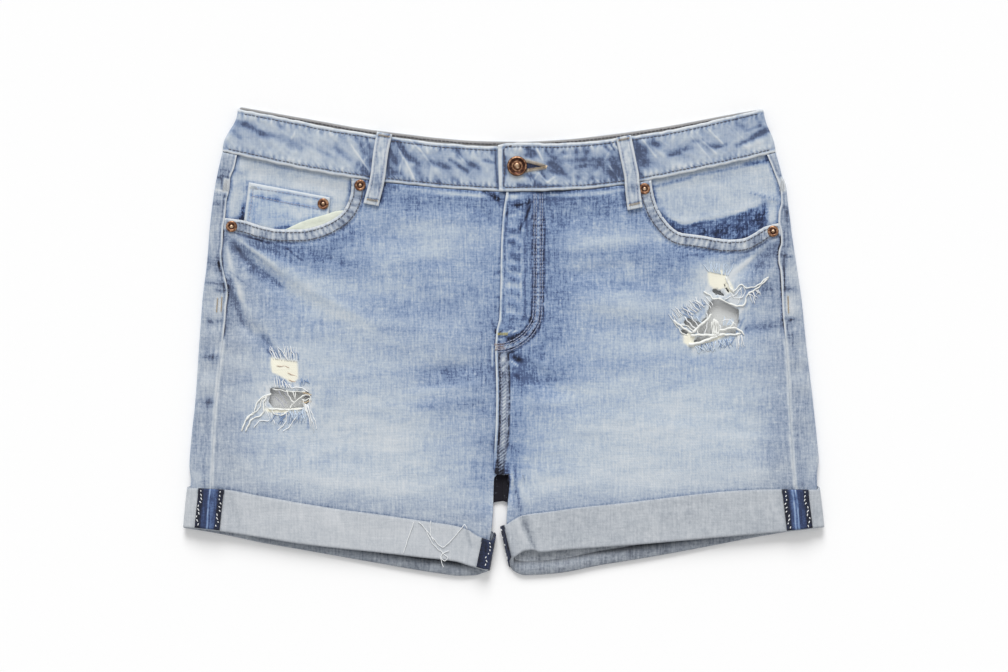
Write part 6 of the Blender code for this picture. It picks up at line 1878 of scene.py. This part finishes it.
def buttonhole():
    """Keyhole lips of close stitches round a dark slot of painted shade, from under the button to its
    point.
    """
    start, end = BUTTONHOLE
    y = BUTTON_AT[1]
    lips = []
    for sign in (1, -1):
        path = curve([(start + 5, y + sign * 4.9), (start + 12, y + sign * 3.2),
                      (start + 19, y + sign * 1.9 - 0.4), (end - 0.6, y - 0.9)], 0.36)
        even = (np.arange(len(path)) % 2 == 0)[:, None]
        zigzag = np.where(even, offset(path, 1.45), offset(path, -1.25))
        z = band_top_height(zigzag[:, 0], zigzag[:, 1]) + 0.25
        lips.append(np.column_stack([zigzag, z]))
    lip = tubes("buttonhole_lips", lips, 0.52, "thread_straw")
    steps = np.linspace(0, 1, 14)
    xs = mix(start + 5, end - 1.5, steps)
    half_width = mix(4.2, 0.5, steps ** 0.8)
    rows = np.stack([np.stack([xs, y - 0.6 * steps + k * half_width], axis=1)
                     for k in np.linspace(-1, 1, 7)])
    z = band_top_height(rows[..., 0], rows[..., 1]) + 0.10
    # A dark sheet in the slot: painted shade of the opening.
    slot = cloth("buttonhole_slot_shade", np.dstack([rows, z]), 0.2, "raw_indigo", {"wash": 1.12})
    return lip, slot


def tab_stitches(name, side, first, last):
    """Uneven white stitches along a cuff tab's dark raw edges."""
    grid, normals = tab_grid(side, first, last)
    rows, columns = grid.shape[:2]
    rng = np.random.default_rng(rows * columns + first)

    def place(across, down, lift):
        i, j = np.clip(down, 0, 0.999) * (rows - 1), np.clip(across, 0, 0.999) * (columns - 1)
        i0, j0 = int(i), int(j)
        left = mix(grid[i0, j0], grid[i0 + 1, j0], i - i0)
        right = mix(grid[i0, j0 + 1], grid[i0 + 1, j0 + 1], i - i0)
        return mix(left, right, j - j0) + normals[j0] * (CLOTH / 2 + lift)

    width = np.linalg.norm(grid[0, 0] - grid[0, -1])
    length = np.linalg.norm(grid[0, 0] - grid[-1, 0])
    lines = []
    for row in TAB_STITCHES[name]:
        for down in np.arange(1.8, length - 1.5, 3.1) + rng.normal(0, 0.35):
            along, over = rng.uniform(0.9, 2.0), rng.uniform(-0.5, 1.6)
            start = row + rng.normal(0, 0.6) / width
            lines.append([place(start + over * t / width, (down + along * t) / length,
                                0.1 + 0.5 * t * (1 - t)) for t in (0, 0.35, 0.65, 1)])
    return tubes(name + "_stitches", [lines], 0.42, "thread_white")


# Fringes of fine threads on each front: colour, root line (2 pixels), tip line (2 pixels),
# count, sway (mm), lift (mm), radius (mm)
FRAYS = {
    "left": [
        ("white", (273, 359), (298, 362), (270, 347), (298, 346), 16, 1, 0.7, 0.34),
        ("blue", (272, 357), (300, 360), (269, 346), (300, 350), 12, 0.8, 0.4, 0.34),
        ("white", (275, 387), (290, 388), (274, 376), (288, 380), 7, 0.6, 0.5, 0.42),
        ("blue", (277, 387), (292, 388), (277, 376), (289, 382), 6, 0.5, 0.3, 0.36),
        ("blue", (301, 378), (311, 384), (302, 385), (308, 379), 8, 0.8, 0.3, 0.34),
        ("sky", (288, 410), (306, 409), (290, 420), (308, 421), 13, 1.2, 0.6, 0.34),
        ("blue", (274, 413), (306, 412), (272, 424), (306, 423), 12, 1, 0.3, 0.34),
        ("white", (304, 402), (309, 406), (309, 424), (316, 430), 5, 1.2, 0.6, 0.36)],
    "right": [
        ("sky", (708, 272), (728, 276), (703, 264), (731, 264), 18, 0.9, 0.5, 0.34),
        ("white", (688, 318), (706, 306), (680, 308), (698, 296), 9, 1.5, 0.6, 0.34),
        ("blue", (687, 320), (707, 303), (676, 310), (699, 299), 9, 1.3, 0.3, 0.34),
        ("white", (672, 322), (684, 314), (668, 314), (676, 306), 7, 0.8, 0.5, 0.32),
        ("sky", (694, 346), (732, 338), (696, 354), (732, 346), 18, 1, 0.6, 0.36),
        ("blue", (700, 344), (736, 337), (702, 352), (738, 345), 13, 0.8, 0.3, 0.34),
        ("white", (736, 332), (742, 336), (736, 350), (743, 348), 6, 0.9, 0.5, 0.32),
        ("sky", (722, 326), (731, 325), (724, 319), (735, 319), 6, 0.4, 0.3, 0.36),
        ("white", (748, 292), (758, 288), (752, 304), (762, 292), 6, 1, 0.6, 0.34)]}
# Ropes of loose weft of each colour and front: radius (mm), pixels along each
ROPES = {
    ("cream", "left"): [
        (0.72, (272, 394), (265, 396), (259, 401), (256, 407), (255, 412), (250, 416), (246, 421),
         (244, 426), (242, 431)),
        (0.72, (267, 397), (264, 404), (264.5, 411), (260, 416), (253, 418.5), (249, 425), (246, 431)),
        (0.55, (269, 395), (262, 400), (261, 406), (257, 411), (250, 415), (246, 420)),
        (0.7, (269, 408.8), (279, 409.2), (290, 409.6), (303, 408.8)),
        (0.6, (272, 410), (275, 413.5), (281, 415), (286, 413), (290, 410)),
        (0.6, (287, 390), (289, 395), (291.5, 399.5), (294.5, 402.5), (291.5, 406), (290, 409)),
        (0.6, (304, 395), (299.5, 398.5), (296.5, 401), (293.5, 403.5)),
        (0.5, (292.5, 391), (295, 396), (295.5, 400), (296, 391.5)),
        (0.5, (273, 389), (281, 390), (289, 391.3), (297, 391.4), (306, 391.8)),
        (0.5, (303, 396.5), (306, 394.5), (309, 395), (311, 397.5), (312, 400)),
        (0.5, (302, 399.5), (306, 400), (309.5, 398.5), (311, 400)),
        (0.5, (303.5, 399), (304, 404), (306, 409), (308, 413))],
    ("white", "left"): [
        (0.4, (271, 393), (266, 401), (267, 410), (270, 418), (268, 421), (262, 420), (257, 424),
         (254, 428)),
        (0.5, (289, 384), (293, 388), (298, 387), (304, 388.5), (309, 392)),
        (0.42, (310, 399), (311, 407), (313, 415), (316, 422), (317, 429)),
        (0.45, (272, 413), (273, 418.5), (276, 424)),
        (0.45, (286.5, 413), (287, 419), (284, 425), (278, 430)),
        (0.45, (297, 416), (293, 422), (288.5, 428), (283, 431))],
    ("tan", "left"): [
        (0.42, (303, 393), (307, 392.8), (310, 394.5), (312, 395)),
        (0.42, (302.5, 401.5), (306, 402.5), (309, 401), (311.5, 402))],
    ("brown", "left"): [
        (0.62, (305.6, 396.6), (307, 396.5), (308.8, 396.8))],
    ("copper", "left"): [
        (0.26, (277, 366), (283, 366), (290, 367.2)), (0.24, (288, 373), (293, 374.6), (297, 376.6)),
        (0.24, (289, 379.8), (293, 381), (297, 382))],
    ("grey", "left"): [
        (0.3, (279, 391), (283, 397), (287.5, 404)), (0.3, (276, 397), (281, 402), (285, 407)),
        (0.26, (284, 391), (287.5, 395), (290.5, 400))],
    ("cream", "right"): [
        (0.75, (703, 292), (709, 295), (713, 298.8), (719, 298.8), (724, 301.5), (730, 304), (736, 306),
         (741, 306), (744.5, 303.5), (745.3, 299), (746, 296), (749.5, 292.5), (755, 289.5),
         (761.5, 284), (767.5, 278)),
        (0.62, (729, 290), (734, 290.5), (737.5, 287), (740, 284.5), (743, 286.3), (746, 288),
         (752, 287.3), (758, 285), (763, 280.5), (768, 276.8)),
        (0.9, (725, 277), (727.5, 283), (731, 290), (734, 293)),
        (0.95, (673, 320.5), (677, 323.5), (681, 326.5), (687, 330.5), (692, 333)),
        (0.5, (673, 322), (678, 328), (682, 333.5), (687, 335)),
        (0.5, (680, 325.5), (684, 325), (690, 328.5), (694, 332)),
        (1.2, (692, 333), (696.5, 328.5), (700, 325), (706, 320.5), (711, 314)),
        (0.5, (697, 336), (697.5, 330), (700, 325), (704, 321.5)),
        (0.7, (733, 322), (731, 326), (727, 329), (722, 331)),
        (1.2, (713.5, 319), (713, 324), (713.5, 330), (714, 336)),
        (1.2, (715, 320), (715.5, 325), (716, 331), (716.5, 336)),
        (0.8, (716.5, 321), (718, 327), (718.5, 335)), (0.7, (711, 322), (711.5, 329), (713, 335.5)),
        (1.15, (690, 335.5), (698, 335), (707, 335), (715, 335.5), (724, 334.3)),
        (1.4, (688, 344.5), (697, 343.3), (707, 339.8), (717, 336)),
        (0.95, (719, 330.5), (724, 329.5), (729, 328.2), (733, 327.8), (738, 329.5), (741.5, 332),
         (743.5, 335)),
        (0.9, (722, 334.5), (728, 334.8), (734, 334.5), (741, 333.5))],
    ("white", "right"): [
        (0.4, (724, 300), (729, 297), (734, 295.5), (738, 291), (741, 287)),
        (0.38, (730, 293), (735, 298.5), (741, 297.5), (744.5, 292), (743, 287)),
        (0.38, (739, 288), (741, 293), (739, 299), (737, 305)),
        (0.42, (746, 295), (750, 294.5), (753, 298), (754, 304)),
        (0.6, (684, 317), (688, 322), (693, 327), (696, 330)), (0.5, (690, 316), (694, 321.5), (699, 327)),
        (0.5, (706, 313), (707, 320), (706, 328), (704, 334)), (0.5, (719, 325), (720.5, 330), (720, 335)),
        (0.45, (721.5, 322), (725, 319.3), (729.5, 320), (733.5, 323.5), (736.5, 326.5)),
        (0.42, (695, 297), (696.5, 301.5), (700.5, 305), (703, 304)),
        (0.42, (703, 300), (707, 304), (711, 308.5)), (0.42, (705, 297), (709, 301), (713, 306))],
    ("sky", "right"): [
        (0.5, (696, 317), (699, 321), (703, 325))]}


def between(line, share):
    """Points at shares of the way from a line's first pixel to its second."""
    a, b = np.array(seen(*line[0])), np.array(seen(*line[1]))
    return mix(a, b, share[:, None])


def threads_from(rng, top, root_line, tip_line, count, sway, lift, steps=11):
    """Curved threads from one line to another, lying on top(x, y)."""
    share = (np.arange(count) + rng.uniform(0.1, 0.9, count)) / count
    root = between(root_line, share)
    tip = between(tip_line, np.clip(share + rng.normal(0, 0.12, count), 0, 1))
    tip = tip + rng.normal(0, 0.9, tip.shape)
    t = np.linspace(0, 1, steps)[None]
    path = mix(root[:, None], tip[:, None], t[..., None])
    run = tip - root
    across = np.stack([-run[:, 1], run[:, 0]], axis=1)
    across /= np.maximum(np.linalg.norm(across, axis=1, keepdims=True), 1e-6)
    phase, turns = rng.uniform(0, 6.3, (count, 1)), rng.uniform(0.5, 1.6, (count, 1))
    bend = wave(turns * t, phase) - np.sin(phase)
    path = path + across[:, None] * (bend * sway * rng.uniform(0.3, 1.0, (count, 1)) * t)[..., None]
    rise = rng.uniform(0.15, 1.0, (count, 1)) * lift * np.sin(math.pi * np.clip(t * 0.9, 0, 1))
    z = top(path[..., 0], path[..., 1]) + 0.22 + rise
    return np.concatenate([path, z[..., None]], axis=2)


def rip_threads():
    """Fringes and loose ropes round the holes, one joined piece for each colour and side."""
    rng = np.random.default_rng(7)
    groups = {}
    taper = np.array([1, 1, 1, 1, 1, 0.95, 0.9, 0.8, 0.7, 0.55, 0.35])
    for side, colour, root_a, root_b, tip_a, tip_b, count, sway, lift, radius in (
            (side, *row) for side in SIDES for row in FRAYS[side]):
        line = threads_from(rng, front_top(side), (root_a, root_b), (tip_a, tip_b), count, sway, lift)
        groups.setdefault((colour, side), []).append((line, radius * taper))
    for (colour, side), radius, *pixels in ((key, *row) for key, rows in ROPES.items() for row in rows):
        path = seen_curve(pixels, 1.0)
        along = np.arange(len(path))
        path = path + 0.22 * np.stack([np.sin(along * 1.1), np.cos(along * 0.9)], axis=1)
        z = front_top(side)(path[:, 0], path[:, 1]) + radius * 0.6 + 0.25 * np.sin(along * 0.7)
        width = radius * (0.85 + 0.25 * patchy(along, 0 * along, 66, 2.3, 1)) * ramp(
            (np.minimum(along, along[::-1]) + 1.5) / 3)
        groups.setdefault((colour, side), []).append((np.column_stack([path, z]), width))
    return [tubes("rip_thread_%s_%s" % (colour, side), *map(list, zip(*rows)), "thread_" + colour, 6)
            for (colour, side), rows in groups.items()]


# Loose threads on the left cuff, as pixels along each one
LOOSE = [
    [(414, 521), (412, 528), (409, 536), (407, 542), (404, 552)],
    [(419, 521), (423, 525), (428, 531), (433, 537), (438, 543), (443, 547)],
    [(443, 547), (450, 541), (457, 533), (462, 527), (465, 523.5), (467, 528)],
    [(431, 520), (430.5, 526), (431, 533), (434, 541)],
    [(440, 549), (444, 553), (448, 557), (445, 560), (441, 556), (444, 552), (449, 550)],
    [(443, 552), (441, 557), (442, 562), (444, 566)],
    [(427, 530), (430, 538), (436, 546), (440, 550)]]


def loose_threads():
    rng = np.random.default_rng(5)
    top = CUFF_FRONT + CUFF / 2 + 0.35
    lines = []
    for pixels in LOOSE:
        path = seen_curve(pixels, 1.2)
        bend = 0.15 * np.sin(np.arange(len(path)) * 0.9 + rng.uniform(0, 6))
        z = top + 0.25 + bend + cuff_relief("left", path[:, 0], path[:, 1])
        lines.append(np.column_stack([path + bend[:, None], z]))
    return tubes("loose_threads", lines, 0.33, "thread_white")


def dress(piece, node):
    """Put a piece of cloth in a node's place."""
    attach(piece, "root")
    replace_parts(piece, node)


def plain(piece):
    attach(piece, "root")
    return piece


for side in SIDES:
    back = back_panel(side)
    dress(back, "back_panel_" + side)
    front = front_panel(side)
    dress(front, "front_panel_" + side)
    dress(cuff(side), "cuff_" + side)
    dress(pocket_facing(side), "pocket_facing_" + side)
dress(waistband(), "waistband")
dress(coin_pocket(), "coin_pocket")
dress(pocket_bag(), "pocket_bag_left")
for loop_name, *loop_ends in BELT_LOOPS:
    dress(belt_loop(loop_name, *loop_ends), loop_name)
for tab_name, tab_side, tab_first, tab_last in TABS:
    tab = cuff_tab(tab_name, tab_side, tab_first, tab_last)
    dress(tab, tab_name)
    plain(tab_stitches(tab_name, tab_side, tab_first, tab_last))
for node in sorted(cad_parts):
    if node.startswith("rivet") or node == "button":
        shape = metal(node, BUTTON_FORM if node == "button" else RIVET_FORM)
        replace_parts(plain(shape), node)
for piece in (waistband_stitches(), inner_band_stitches(), pocket_stitches("left"),
              pocket_stitches("right"), fly_stitches(), coin_stitches(),
              loose_threads(), *bar_tacks(), *loop_stitches(), *rip_threads()):
    plain(piece)
lip, slot_shade_cloth = buttonhole()
plain(lip)
plain(slot_shade_cloth)

# ---------------------------------------------------------------- floor, light, camera
FLOOR_HALF, FLOOR_Z = 1.6, -0.0003      # metres; just below the shorts
PAPER = (0.975, 0.975, 0.975, 1)
SKY_STRENGTH = 0.62
SUN_STRENGTH, SUN_ANGLE, SUN_TILT = 2.37, 30, (-58, -6, 0)     # angles in degrees
CAMERA_HEIGHT, CAMERA_LENS = 2.38, 100.0


def staged(name, data):
    """An object of the scene that isn't part of the shorts."""
    thing = bpy.data.objects.new(name, data)
    bpy.context.scene.collection.objects.link(thing)
    return thing


floor_mesh = bpy.data.meshes.new("floor")
floor_mesh.from_pydata([(x * FLOOR_HALF, y * FLOOR_HALF, FLOOR_Z)
                        for x, y in ((-1, -1), (1, -1), (1, 1), (-1, 1))], [], [(0, 1, 2, 3)])
paper = Nodes("paper", 0.9, specular=0.1)
paper.shader.inputs["Base Color"].default_value = PAPER
floor_mesh.materials.append(paper.material)
staged("floor", floor_mesh)

world = bpy.data.worlds.new("studio")
world.use_nodes = True
background = world.node_tree.nodes["Background"]
background.inputs["Color"].default_value = (1.0, 1.0, 1.0, 1)
background.inputs["Strength"].default_value = SKY_STRENGTH
bpy.context.scene.world = world

sun_data = bpy.data.lights.new("window", "SUN")
sun_data.energy = SUN_STRENGTH
sun_data.angle = math.radians(SUN_ANGLE)
staged("window", sun_data).rotation_euler = [math.radians(a) for a in SUN_TILT]

camera_data = bpy.data.cameras.new("camera")
camera_data.sensor_width = 36.0
camera_data.lens = CAMERA_LENS
camera_data.clip_end = 20.0
camera = staged("camera", camera_data)
middle_x, middle_y = seen(504, 336)
camera.location = ((middle_x - CENTRE[0]) * MM, (middle_y - CENTRE[1]) * MM, CAMERA_HEIGHT)
bpy.context.scene.camera = camera
bpy.context.scene.view_settings.view_transform = "Standard"
